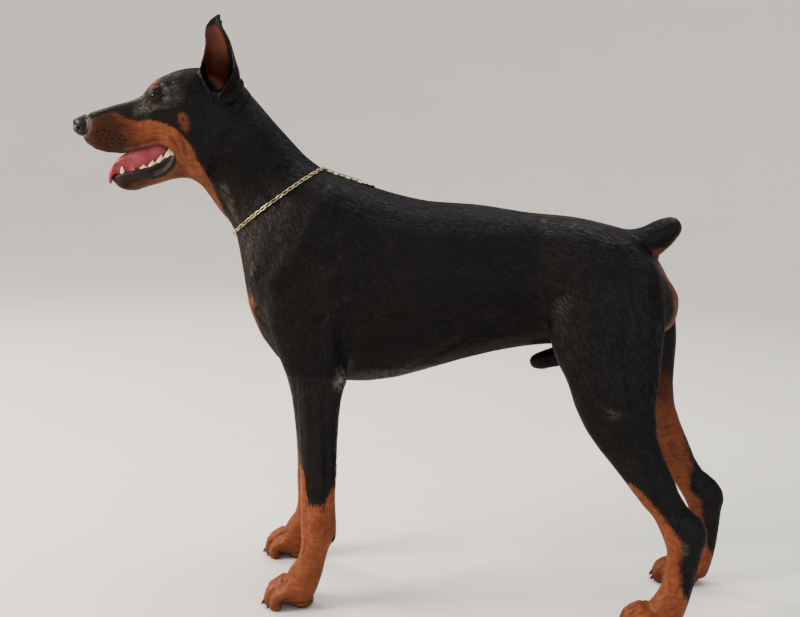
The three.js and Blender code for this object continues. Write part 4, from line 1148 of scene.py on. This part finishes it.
def tuft_mesh(name, points, patch):
    """Four-cornered solid spears from rows of root, two sides and tip, with their places in the unwrap."""
    count = len(points)
    start = 4 * np.arange(count)[:, None, None]
    triangles = (start + np.array([[0, 3, 1], [0, 2, 3], [0, 1, 2], [1, 3, 2]])[None]).reshape(-1, 3)
    mesh = bpy.data.meshes.new(name)
    mesh.vertices.add(4 * count)
    mesh.vertices.foreach_set("co", points.astype(np.float32).ravel())
    mesh.loops.add(triangles.size)
    mesh.loops.foreach_set("vertex_index", triangles.astype(np.int32).ravel())
    mesh.polygons.add(len(triangles))
    mesh.polygons.foreach_set("loop_start", np.arange(0, triangles.size, 3, dtype=np.int32))
    mesh.update(calc_edges=True)
    coat = bpy.data.objects.new(name, mesh)
    bpy.context.collection.objects.link(coat)
    unwrap = mesh.uv_layers.new(name="OFBake")
    unwrap.data.foreach_set("uv", patch.reshape(-1, 2)[triangles.ravel()].astype(np.float32).ravel())
    return coat


def make_tufts(name, source, faces, count, rng):
    """One piece of the coat: thin spears lying along the body, their roots sunk in the skin."""
    # Short hair stands closer than long hair, so that both cover the skin alike.
    chance = source["area"][faces] / source["length"][faces] ** 2
    chosen = rng.choice(faces, count, p=chance / chance.sum())
    # A random place in each chosen triangle
    a, b = rng.random((2, count))
    flip = a + b > 1
    a[flip], b[flip] = 1 - a[flip], 1 - b[flip]
    mix = np.stack([1 - a - b, a, b], 1)[:, :, None]
    corner = source["corners"][chosen]
    root = (source["points"][corner] * mix).sum(1)
    normal = (source["normals"][corner] * mix).sum(1)
    normal /= np.linalg.norm(normal, axis=1)[:, None]
    flat = (source["unwrap"][chosen] * mix).sum(1)
    # The way it lies: the coat's direction there, laid flat on the skin and turned a little at random
    at = straight(root)
    square = squared(at)
    way = turn_ways(lie_of(square, np.sign(at[:, 1])), at)
    way -= normal * (way * normal).sum(1)[:, None]
    way /= np.linalg.norm(way, axis=1)[:, None] + 1e-9
    across = np.cross(normal, way)
    yaw = rng.normal(0, 0.16, count)[:, None]
    way = way * np.cos(yaw) + across * np.sin(yaw)
    across = np.cross(normal, way)
    # Its length and width, and how far its tip stands off the skin, all in mm
    fringe = np.zeros(count)
    for line in FRINGES:
        fringe = np.maximum(fringe, np.exp(-(line_gap(square, line) / 9) ** 2))
    length = source["length"][chosen] * rng.uniform(0.8, 1.2, count) * (1 + 0.5 * fringe)
    width = np.clip(length * 0.16, 0.55, 1.6) * rng.uniform(0.8, 1.2, count)
    lift = 0.32 + 0.03 * length + rng.random(count) * 0.25 + fringe * rng.uniform(0.0, 3.0, count)
    reach = root + way * length[:, None] * MM
    tips = np.empty((count, 3))
    for i, spot in enumerate(reach.tolist()):
        found, facing, _, _ = source["tree"].find_nearest(spot)
        tips[i] = found + facing * (lift[i] * MM)
    middle = root + (tips - root) * 0.38 - normal * 0.05 * MM
    side = across * width[:, None] * 0.5 * MM
    points = np.stack([root - normal * 0.25 * MM, middle - side, middle + side, tips], 1)
    # In the unwrap each tuft takes a tiny diamond at its root's place.
    diamond = np.array([[-0.0015, 0], [0, -0.0015], [0, 0.0015], [0.0015, 0]])
    coat = tuft_mesh(name, within_box(points, 0.05 * MM), flat[:, None, :] + diamond[None])
    rust = rust_depth(at) + rng.normal(0, 1.3, count)
    shade = rng.random(count)
    for key, values in (
            ("rust", rust), ("soot_and_shade", soot_and_shade_of(square)), ("pale_and_sheen", pale_and_sheen_of(square)), ("shade", shade)):
        store(coat, key, np.repeat(values, 4))
    # Each corner's place along its tuft, 0 at the root to 1 at the tip, for the painted shade at the root.
    store(coat, "tip", np.tile([0.0, 0.4, 0.4, 1.0], count))
    # Tufts take light as the skin under them does, each leaning a little its own way.
    lean = rng.normal(0, 0.10, (count, 3))
    shown = np.stack([normal, normal - across * 0.30, normal + across * 0.30, normal + way * 0.12], 1)
    shown += lean[:, None, :]
    shown /= np.linalg.norm(shown, axis=2)[:, :, None]
    only(coat)
    bpy.ops.object.shade_smooth()
    coat.data.normals_split_custom_set_from_vertices(shown.reshape(-1, 3).tolist())
    return coat


def build_coat(skin, settings):
    """The tufts in six pieces, wherever the skin isn't bare."""
    only(skin)
    bpy.ops.object.mode_set(mode="EDIT")
    bpy.ops.mesh.select_all(action="SELECT")
    bpy.ops.uv.smart_project(angle_limit=math.radians(66), island_margin=0.001)
    bpy.ops.object.mode_set(mode="OBJECT")
    skin.data.uv_layers.active.name = "OFBake"
    mesh = skin.data
    mesh.calc_loop_triangles()
    corners = column(mesh.loop_triangles, "vertices", 3, np.int32)
    loops = column(mesh.loop_triangles, "loops", 3, np.int32)
    unwrap = column(mesh.uv_layers["OFBake"].data, "uv", 2)
    points = points_of(skin)
    a, b, c = (points[corners[:, k]] for k in range(3))
    at = straight((a + b + c) / 3)
    source = {"points": points, "normals": normals_of(skin), "corners": corners,
              "unwrap": unwrap[loops].astype(float),
              "area": np.linalg.norm(np.cross(b - a, c - a), axis=1),
              "length": hair_length(squared(at)), "tree": surface_of(skin)}
    bare = near_eyes(straight(points), 8.6)
    for key, limit in (("flesh", -1.0), ("lip", -0.3), ("bare", -0.5), ("ear", 0.0)):
        bare |= column(mesh.attributes[key].data, "value") > limit
    haired = ~bare[corners].any(1)
    x, z = at[:, 0], at[:, 2]
    head = on_head(at)
    legs = ~head & (z <= 404) & ((x < 60) | (z <= 300))
    body = ~head & ~legs
    # Each piece with its share of the tufts
    pieces = (("coat_head", head, 1.0), ("coat_forelegs", legs & (x < 120), 0.75),
              ("coat_hindlegs", legs & (x >= 120), 0.75), ("coat_neck", body & (x < -70), 1.0),
              ("coat_trunk", body & (x >= -70) & (x < 210), 1.0), ("coat_rump", body & (x >= 210), 1.0))
    rng = np.random.default_rng(7)
    material = coat_material("short_coat_tufts", True, settings)
    for name, where, share in pieces:
        coat = make_tufts(name, source, np.nonzero(where & haired)[0], int(settings.tufts * share), rng)
        coat.data.materials.append(material)
        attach(coat, BODY)


# Longer hairs at the cheek, the brow and the chin: [x, out, z, length in mm]
FEELERS = [(-360, 57, 795, 7), (-358, 57, 792, 6), (-404, 34, 852, 7), (-408, 32, 851, 6),
           (-452, 16, 684, 6), (-438, 18, 684, 5)]


def build_whiskers(skin):
    """Dark beads at the whisker roots with short stiff hairs, trimmed as for showing."""
    tree = surface_of(skin)
    rng = np.random.default_rng(3)
    rings, thick = 5, 0.24
    bead_around, bead_radius = 8, 1.15
    points, faces = [], []
    for side in SIDES:
        for x, out, z, length in [(*spot, 5.5) for spot in WHISKERS] + FEELERS:
            found, normal, _, _ = tree.find_nearest(placed([x, side * out, z])[0].tolist())
            root, normal = np.array(found), np.array(normal)
            way = turn_ways(np.array([[0.75, side * 0.3, -0.25]]), np.array([[x, 0, z]]))[0] + normal * 0.55
            way /= np.linalg.norm(way)
            over = np.cross(way, [0.1, 0.2, 1.0])
            over /= np.linalg.norm(over)
            third = np.cross(way, over)
            long = length * rng.uniform(0.8, 1.2)
            faces += ring_faces(rings, 4, len(points))
            for i in range(rings):
                t = i / (rings - 1)
                radius = thick * (1 - 0.8 * t)
                sagged = way * long * t + np.array([0, 0, -0.1]) * long * t * t
                for k in range(4):
                    a = math.pi * k / 2
                    points.append(root + (sagged + (over * math.cos(a) + third * math.sin(a)) * radius) * MM)
            flat = np.cross(normal, [0.3, 0.1, 1.0])
            flat /= np.linalg.norm(flat)
            other = np.cross(normal, flat)
            start = len(points)
            points.append(root + normal * 0.8 * MM)
            for k in range(bead_around):
                a = 2 * math.pi * k / bead_around
                rim = (flat * math.cos(a) + other * math.sin(a)) * bead_radius * MM
                points.append(root + rim + normal * 0.35 * MM)
                here, following = start + 1 + k, start + 1 + (k + 1) % bead_around
                faces.append((start, here, following))
                faces.append((start + 1 + bead_around, following, here))
            points.append(root - normal * 0.5 * MM)
    whiskers = closed_mesh("whiskers", points, faces)
    whiskers.data.materials.append(whisker_hair())
    return finish_piece(whiskers, "black_coat")


# Eyes, nose and mouth

def build_eye(side):
    """A ball with a cornea that stands a little proud of it over the iris."""
    centre = Vector(placed([EYE["x"], side * EYE["out"], EYE["z"]])[0])
    bpy.ops.object.select_all(action="DESELECT")
    bpy.ops.mesh.primitive_uv_sphere_add(
        segments=48, ring_count=32, radius=EYE["radius"] * MM, location=centre)
    eye = bpy.context.active_object
    eye.name = f"eyeball_{SIDE_NAMES[side]}"
    only(eye)
    bpy.ops.object.transform_apply(location=True, rotation=True, scale=True)
    look = turn_ways(np.array([EYE_LOOK]) * [1, side, 1], np.array([[EYE["x"], 0, EYE["z"]]]))[0]
    look /= np.linalg.norm(look)
    rel = points_of(eye) - np.array(centre)
    along = rel @ look
    off_gaze = np.linalg.norm(rel - along[:, None] * look, axis=1)
    store(eye, "iris", off_gaze / MM + np.where(along < 0, 20, 0))
    bulge = 0.7 * MM * ramp(off_gaze, 6.5 * MM, 3.0 * MM) * (along > 0)
    move_points(eye, points_of(eye) + look * bulge[:, None])
    eye.data.materials.append(wet_eye())
    return finish_piece(eye, "eye", f"eye_{SIDE_NAMES[side]}")


def build_nose():
    """The leather: a patch of the muzzle's own front, proud of the skin and tucked in along its edge."""
    nose = merged_copy(["nose", "head"], "nose_leather")
    modify(nose, "REMESH", mode="VOXEL", voxel_size=1.0 * MM)
    nose = keep_largest(nose)
    at = straight(points_of(nose))
    only(nose)
    nose.data.vertices.foreach_set("select", inside(NOSE_OUTLINE, at[:, 0], at[:, 2]) < -0.8)
    bpy.ops.object.mode_set(mode="EDIT")
    bpy.ops.mesh.delete(type="VERT")
    bpy.ops.object.mode_set(mode="OBJECT")
    nose = keep_largest(nose)
    at = straight(points_of(nose))
    smooth(nose, ramp(inside(NOSE_OUTLINE, at[:, 0], at[:, 2]), -0.5, 3.0), 130)
    smooth(nose, np.ones(len(nose.data.vertices)), 6)
    at = straight(points_of(nose))
    depth = inside(NOSE_OUTLINE, at[:, 0], at[:, 2])
    square = mirrored(at)
    # The leather is drawn toward a rounded button, then its nostrils and groove are sunk.
    middle, radii = np.array([-515.5, 0, 782]), np.array([21.5, 16.8, 17.6])
    away = (at - middle) / radii
    button = middle + away / np.linalg.norm(away, axis=1)[:, None] * radii
    at += (button - at) * 0.6 * ramp(depth, 0.0, 5.0)[:, None]
    points = placed(at)
    move_points(nose, points)
    rise = 1.2 - 2.7 * ramp(depth, 5.0, -0.8) ** 2
    rise -= 6.0 * np.exp(-(line_gap(square, [(-531, 6, 783), (-525, 10, 781), (-521, 12, 777)]) / 3.0) ** 2)
    rise -= 3.0 * np.exp(-(line_gap(square, [(-522, 12, 775), (-514, 14, 772), (-508, 15, 776)]) / 1.7) ** 2)
    rise -= 1.2 * np.exp(-(square[:, 1] / 1.2) ** 2) * ramp(at[:, 2], 784, 776)
    points += normals_of(nose) * rise[:, None] * MM
    move_points(nose, within_box(points))
    smooth(nose, np.ones(len(points)), 2)
    # How deep the nostrils and groove are sunk, for the painted shade in them.
    store(nose, "hollow", np.clip(-rise, 0, 4))
    nose.data.materials.append(nose_leather())
    return finish_piece(nose, "nose_leather", "nose")


def build_tongue():
    """The tongue arches up to the palate behind, its middle a little hollow and its edges curled."""
    tongue = merged_copy(["tongue"], "tongue_flesh")
    modify(tongue, "REMESH", mode="VOXEL", voxel_size=1.2 * MM)
    smooth(tongue, np.ones(len(tongue.data.vertices)), 12)
    points = points_of(tongue)
    at = straight(points)
    up = normals_of(tongue)[:, 2]
    top = ramp(up, -0.2, 0.6)
    arch = 7.5 * ramp(at[:, 0], -474, -440) * top
    arch -= 9.0 * ramp(at[:, 0], -475, -462) * ramp(up, 0.1, -0.6)
    curl = (2.6 * np.exp(-((np.abs(at[:, 1]) - 13) / 4) ** 2) - 2.0 * np.exp(-(at[:, 1] / 4) ** 2)) * top
    points[:, 2] += (arch + curl) * MM
    # It lies between the lower teeth, and is free above them.
    at = straight(points)
    clear = np.interp(at[:, 0], [-482, -466, -450, -436], [22, 10.5, 11, 18])
    free = clear + 20 * ramp(at[:, 2], 721, 731)
    at[:, 1] = np.sign(at[:, 1]) * np.minimum(np.abs(at[:, 1]), free)
    move_points(tongue, placed(at))
    smooth(tongue, np.ones(len(points)), 4)
    # How far each place faces sideways and down, for the painted shade on the tongue.
    store(tongue, "side", ramp(normals_of(tongue)[:, 2], 0.45, -0.15))
    tongue.data.materials.append(wet_tongue())
    return finish_piece(tongue, "tongue_flesh", "tongue")


# Teeth, claws, whiskers and links follow lines measured on this dog, which primitives don't give, so their
# corners are laid ring by ring.

# Each tooth: where its middle stands along the jaw, how high, how wide, and how far its tip leans back
UPPER_TEETH = [(-507, 6, 5, 0), (-503, 8, 5, 0), (-497, 12, 8, 2), (-474, 6, 9, 0), (-458, 7, 10, 0),
               (-441, 7, 11, 0), (-424, 7, 14, 0), (-405, 6, 14, 0), (-389, 8, 12, 0)]
LOWER_TEETH = [(-469, 5, 4, 0), (-465.5, 6, 4, 0), (-457, 12.5, 9, -3), (-441, 2.5, 6, 0), (-425, 6, 12, 0),
               (-411, 8.5, 13, 0), (-397, 10, 15, 0), (-383.5, 13, 16, 0)]
TOOTH_RINGS = 7
TOOTH_AROUND = 14


def tooth(gum, side, way, x, height, crown, lean):
    """Rings of corners: a canine is a bent cone, a cheek tooth a low blade with its point in the middle."""
    rooted = 4
    gum = np.array(gum, float)
    out = np.interp(x, gum[:, 0], gum[:, 1]) + 0.8
    base = np.interp(x, gum[:, 0], gum[:, 2]) + way * 4.2
    sharp = height > 1.25 * crown or crown < 6
    points = []
    for i in range(TOOTH_RINGS):
        t = i / (TOOTH_RINGS - 1)
        rise = t * (height + rooted) - rooted
        above = max(0.0, rise / height)
        wide = max(1 - above ** (1.5 if sharp else 0.95), 0.06)
        for k in range(TOOTH_AROUND):
            a = 2 * math.pi * k / TOOTH_AROUND
            fore = math.cos(a) * crown * 0.5 * wide
            thick = math.sin(a) * crown * 0.5 * wide ** 0.6 * (0.8 if sharp else 0.42)
            points.append((x + fore + lean * t + 1.2 * t * t, side * (out + thick - 0.05 * rise),
                           base + way * rise))
    return points


def build_teeth(teeth, gum, way, name):
    # A cheek tooth has a low cusp before and behind its point.
    cusps = [(x + step * crown, 0.5 * height, 0.42 * crown, 0) for x, height, crown, _ in teeth
             if crown > 10 for step in (-0.36, 0.36)]
    points, faces = [], []
    for side in SIDES:
        for spec in teeth + cusps:
            faces += ring_faces(TOOTH_RINGS, TOOTH_AROUND, len(points))
            points += tooth(gum, side, way, *spec)
    made = closed_mesh(name, placed(points), faces)
    modify(made, "SUBSURF", levels=1, render_levels=1)
    made.data.materials.append(tooth_enamel())
    return finish_piece(made, "tongue_flesh")


def build_claws():
    """Sixteen blunt claws, each curving down to the floor before its toe."""
    rings, around = 7, 10
    points, faces = [], []
    for length, turn, feet in PAWS:
        for side in SIDES:
            x, y = feet[side]
            cos, sin = math.cos(math.radians(side * turn)), math.sin(math.radians(side * turn))
            for out, back, _ in TOES:
                tip = back - length / 2 + 11
                faces += ring_faces(rings, around, len(points))
                for i in range(rings):
                    t = i / (rings - 1)
                    along, high = tip + 5 - 13.5 * t, 15.0 - 3 * t - 9.0 * t * t
                    radius = 4.6 * (1 - t) ** 0.36 + 0.6
                    for k in range(around):
                        a = 2 * math.pi * k / around
                        px = along - 0.3 * radius * math.sin(a)
                        py = side * out + 0.72 * radius * math.cos(a)
                        pz = high + radius * math.sin(a)
                        points.append((x + px * cos - py * sin, y + px * sin + py * cos, max(pz, 0.4)))
    claws = closed_mesh("claws", placed(points), faces)
    modify(claws, "SUBSURF", levels=1, render_levels=1)
    claws.data.materials.append(claw_horn())
    return finish_piece(claws, "nose_leather")


# Chain

# Links by turns lean one way and the other from the skin.
TURNS = (math.radians(-42), math.radians(48))


def ring_path(tree):
    """The closed line on which the chain's links lie round the neck, in frame metres."""
    middle = placed([-209, 0, 663])[0]
    up = np.array([0.802, 0, 0.597])
    line = []
    for k in range(120):
        angle = 2 * math.pi * k / 120
        way = up * math.cos(angle) + np.array([0, 1, 0]) * math.sin(angle)
        hit, normal, _, _ = tree.ray_cast(Vector(middle + way * 0.3), Vector(-way), 0.3)
        line.append(np.array(hit) + np.array(normal) * 2.7 * MM)
    return np.array(line)


def laid(tree, place, above):
    """The point so far above the skin under a place, and the way the skin faces there."""
    hit, normal, _, _ = tree.ray_cast(Vector((place[0], place[1], place[2] + 0.1)), Vector((0, 0, -1)), 0.3)
    return np.array(hit) + np.array(normal) * above, np.array(normal)


def evenly(line, pitch, closed):
    """Places a pitch apart along a line, and the way it runs at each."""
    line = np.vstack([line, line[:1]]) if closed else line
    reached = np.concatenate([[0], np.cumsum(np.linalg.norm(np.diff(line, axis=0), axis=1))])
    total = reached[-1]
    count = max(2, 2 * round(total / pitch / 2))
    where = (np.arange(count) + 0.5) * total / count
    ahead, behind = where + pitch / 3, where - pitch / 3
    if closed:
        ahead, behind = ahead % total, behind % total
    spots, after, before = (np.stack([np.interp(reach, reached, line[:, k]) for k in range(3)], 1)
                            for reach in (where, ahead, behind))
    ways = after - before
    return spots, ways / np.linalg.norm(ways, axis=1)[:, None]


def link_shape(length, width, wire, around=16, sides=6):
    """An oval link, its long way on X and flat in X-Y."""
    points, faces = [], []
    for k in range(around):
        a = 2 * math.pi * k / around
        centre = np.array([length / 2 * math.cos(a), width / 2 * math.sin(a), 0])
        out = np.array([math.cos(a) / length, math.sin(a) / width, 0])
        out /= np.linalg.norm(out)
        n = (k + 1) % around
        for j in range(sides):
            b = 2 * math.pi * j / sides
            points.append(centre + wire * (out * math.cos(b) + np.array([0, 0, 1]) * math.sin(b)))
            m = (j + 1) % sides
            faces.append((k * sides + j, n * sides + j, n * sides + m, k * sides + m))
    return points, faces


def turned_link(shape, spot, way, up, turn):
    """A link's corners at its place, its long way along the chain, turned about it from the skin."""
    side = np.cross(up, way)
    side /= np.linalg.norm(side)
    up = np.cross(way, side)
    across = side * math.cos(turn) + up * math.sin(turn)
    over = -side * math.sin(turn) + up * math.cos(turn)
    return [spot + way * x + across * y + over * z for x, y, z in shape]


def build_collar(skin, settings):
    """The chain round the neck, with its loose end laid back along the withers to its ring."""
    tree = surface_of(skin)
    line = ring_path(tree)
    link = link_shape(settings.pitch + 2.6 * settings.wire, 5.6 * MM, settings.wire)
    ring = link_shape(18 * MM, 18 * MM, 1.6 * MM, 28, 8)
    links = []
    for i, (spot, way) in enumerate(zip(*evenly(line, settings.pitch, True))):
        up = spot - line.mean(0)
        links.append((link, spot, way, up / np.linalg.norm(up), TURNS[i % 2]))
    top = line[np.argmax(line[:, 2])]
    loose = np.array([laid(tree, top + [(4 + k * 8.6) * MM, 0, 0], 2.9 * MM)[0] for k in range(8)])
    spots, ways = evenly(loose, settings.pitch, False)
    for i, (spot, way) in enumerate(zip(spots, ways)):
        links.append((link, spot, way, np.array([0, 0, 1.0]), TURNS[i % 2]))
    end, up = laid(tree, loose[-1] + ways[-1] * 9.5 * MM, 2.2 * MM)
    links.append((ring, end, ways[-1], up, 0.0))
    points, faces = [], []
    for (shape, quads), spot, way, up, turn in links:
        faces += [tuple(len(points) + i for i in quad) for quad in quads]
        points += turned_link(shape, spot, way, up, turn)
    collar = closed_mesh("chain_links", points, faces)
    collar.data.materials.append(chain_steel(settings.metal))
    return finish_piece(collar, "collar_metal", "chain_collar")


# Stage

def build_floor():
    """A pale floor that curves up all round: a disc whose rim is drawn out and up, ring by ring."""
    radius, height, curve = 3.2, 0.0, 1.8
    rings = [(radius + curve * math.sin(a), curve - curve * math.cos(a))
             for a in np.linspace(0.15, math.pi / 2, 9)]
    rings.append((5.0, 3.4))
    bpy.ops.object.select_all(action="DESELECT")
    bpy.ops.mesh.primitive_circle_add(vertices=64, radius=radius, fill_type="TRIFAN", location=(0, 0, 0))
    floor = bpy.context.active_object
    floor.name = "studio_floor"
    bpy.ops.object.mode_set(mode="EDIT")
    bpy.ops.mesh.select_all(action="DESELECT")
    bpy.ops.mesh.select_non_manifold()
    for wide, high in rings:
        bpy.ops.mesh.extrude_region_move(TRANSFORM_OT_translate={"value": (0, 0, high - height)})
        bpy.ops.transform.resize(value=(wide / radius, wide / radius, 1))
        radius, height = wide, high
    bpy.ops.object.mode_set(mode="OBJECT")
    floor.data.materials.append(matt_studio_paint())
    only(floor)
    bpy.ops.object.shade_smooth()


def set_lamps():
    """A pale sky all round, and four broad lamps aimed at the dog."""
    world = bpy.data.worlds.new("studio_air")
    world.use_nodes = True
    fill(world.node_tree, world.node_tree.nodes["Background"], {"Color": linear("#f2f4f8"), "Strength": 0.55})
    bpy.context.scene.world = world
    aim = Vector((-0.05, 0, 0.5))
    for name, spot, size, watts, tint in (
            ("key_lamp", (-2.7, -1.1, 2.0), 1.3, 135, "#fff1e0"),
            ("fill_lamp", (1.6, -3.0, 1.4), 2.6, 30, "#eef3ff"),
            ("rim_lamp", (-2.2, 1.6, 2.2), 1.0, 40, "#fff0dc"),
            ("top_lamp", (0.6, 0.6, 3.2), 2.4, 60, "#ffffff")):
        lamp = bpy.data.lights.new(name, "AREA")
        lamp.size = size
        lamp.energy = watts
        lamp.color = linear(tint)[:3]
        holder = bpy.data.objects.new(name, lamp)
        bpy.context.collection.objects.link(holder)
        holder.location = spot
        holder.rotation_euler = (aim - Vector(spot)).to_track_quat("-Z", "Y").to_euler()


def set_camera():
    """The photograph's view: where it was taken from, and how it is turned, tipped and rolled."""
    azimuth, elevation, roll_angle = map(math.radians, (6.5, 10.8, 1.0))
    back = Vector((math.sin(azimuth) * math.cos(elevation), -math.cos(azimuth) * math.cos(elevation),
                   math.sin(elevation)))
    right = Vector((math.cos(azimuth), math.sin(azimuth), 0))
    up = back.cross(right)
    tilted_right = right * math.cos(roll_angle) + up * math.sin(roll_angle)
    tilted_up = -right * math.sin(roll_angle) + up * math.cos(roll_angle)
    lens = bpy.data.cameras.new("photo_camera")
    lens.lens = 45
    lens.sensor_width = 36
    camera = bpy.data.objects.new("photo_camera", lens)
    bpy.context.collection.objects.link(camera)
    camera.matrix_world = Matrix((
        (tilted_right.x, tilted_up.x, back.x, 0.158755),
        (tilted_right.y, tilted_up.y, back.y, -1.614121),
        (tilted_right.z, tilted_up.z, back.z, 0.802),
        (0, 0, 0, 1)))
    bpy.context.scene.camera = camera
    bpy.context.scene.view_settings.view_transform = "AgX"
    bpy.context.scene.view_settings.look = "AgX - Medium High Contrast"


# Add-on

class DogSettings(bpy.types.PropertyGroup):
    """The sizes and colours that a user would change"""
    black: FloatVectorProperty(name="Black coat", description="Colour of black hair where light catches it",
                               subtype="COLOR", size=3, min=0, max=1, default=linear("#141213")[:3])
    rust: FloatVectorProperty(name="Rust markings", description="Colour of the brightest rust hair",
                              subtype="COLOR", size=3, min=0, max=1, default=linear("#975c3c")[:3])
    metal: FloatVectorProperty(name="Chain", description="Colour of the chain where it is rubbed bright",
                               subtype="COLOR", size=3, min=0, max=1, default=linear("#c9c1ae")[:3])
    voxel: FloatProperty(name="Skin grain", description="Size of the grid that the skin is drawn on",
                         default=1.9 * MM, min=1.2 * MM, max=4 * MM, unit="LENGTH")
    corners: IntProperty(name="Skin corners", description="About how many corners the skin keeps",
                         default=98000, min=60000, max=99000)
    tufts: IntProperty(name="Tufts a piece", description="How many tufts each piece of the coat has at most",
                       default=48000, min=1000, max=49500)
    pitch: FloatProperty(name="Link pitch", description="How far apart the chain's links are",
                         default=11.0 * MM, min=5 * MM, max=20 * MM, unit="LENGTH")
    wire: FloatProperty(name="Link wire", description="Half the thickness of a link's wire",
                        default=1.05 * MM, min=0.5 * MM, max=3 * MM, unit="LENGTH")


class DOBERMAN_OT_skin(bpy.types.Operator):
    """Makes the one skin that covers head, body and legs"""
    bl_idname = "doberman.skin"
    bl_label = "Skin"

    def execute(self, context):
        build_skin(context.scene.doberman)
        return {"FINISHED"}


class DOBERMAN_OT_coat(bpy.types.Operator):
    """Lays the short coat over the skin in tufts, and sets the whiskers"""
    bl_idname = "doberman.coat"
    bl_label = "Coat and whiskers"

    def execute(self, context):
        skin = bpy.data.objects.get("skin")
        if skin is None:
            raise RuntimeError("make the skin before its coat")
        build_coat(skin, context.scene.doberman)
        build_whiskers(skin)
        return {"FINISHED"}


class DOBERMAN_OT_eyes(bpy.types.Operator):
    """Makes both eyes"""
    bl_idname = "doberman.eyes"
    bl_label = "Eyes"

    def execute(self, context):
        for side in SIDES:
            build_eye(side)
        return {"FINISHED"}


class DOBERMAN_OT_mouth(bpy.types.Operator):
    """Makes the nose leather, the tongue and the teeth"""
    bl_idname = "doberman.mouth"
    bl_label = "Nose and mouth"

    def execute(self, context):
        build_nose()
        build_tongue()
        build_teeth(UPPER_TEETH, UPPER_GUM, -1, "teeth_upper")
        build_teeth(LOWER_TEETH, LOWER_GUM, 1, "teeth_lower")
        return {"FINISHED"}


class DOBERMAN_OT_claws(bpy.types.Operator):
    """Makes the claws"""
    bl_idname = "doberman.claws"
    bl_label = "Claws"

    def execute(self, context):
        build_claws()
        return {"FINISHED"}


class DOBERMAN_OT_collar(bpy.types.Operator):
    """Lays the chain collar round the neck, link by link"""
    bl_idname = "doberman.collar"
    bl_label = "Chain collar"

    def execute(self, context):
        settings = context.scene.doberman
        skin = bpy.data.objects.get("skin")
        if skin is None:
            raise RuntimeError("make the skin before the collar that lies on it")
        build_collar(skin, settings)
        return {"FINISHED"}


class DOBERMAN_OT_stage(bpy.types.Operator):
    """Sets up the studio floor, the lamps and the camera"""
    bl_idname = "doberman.stage"
    bl_label = "Stage"

    def execute(self, context):
        build_floor()
        set_lamps()
        set_camera()
        return {"FINISHED"}


class DOBERMAN_PT_panel(bpy.types.Panel):
    """Lists the pieces in the order in which they are made"""
    bl_idname = "DOBERMAN_PT_panel"
    bl_label = "Doberman"
    bl_space_type = "VIEW_3D"
    bl_region_type = "UI"
    bl_category = "Doberman"

    def draw(self, context):
        for name in ("black", "rust", "metal", "voxel", "corners", "tufts", "pitch", "wire"):
            self.layout.prop(context.scene.doberman, name)
        for operator in OPERATORS:
            self.layout.operator(operator.bl_idname)


OPERATORS = (DOBERMAN_OT_skin, DOBERMAN_OT_coat, DOBERMAN_OT_eyes, DOBERMAN_OT_mouth, DOBERMAN_OT_claws,
             DOBERMAN_OT_collar, DOBERMAN_OT_stage)
CLASSES = (DogSettings, *OPERATORS, DOBERMAN_PT_panel)


def register():
    for cls in CLASSES:
        bpy.utils.register_class(cls)
    bpy.types.Scene.doberman = PointerProperty(type=DogSettings)


def unregister():
    del bpy.types.Scene.doberman
    for cls in reversed(CLASSES):
        bpy.utils.unregister_class(cls)


def main():
    register()
    for operator in OPERATORS:
        group, name = operator.bl_idname.split(".")
        getattr(getattr(bpy.ops, group), name)()


if __name__ == "__main__":
    main()
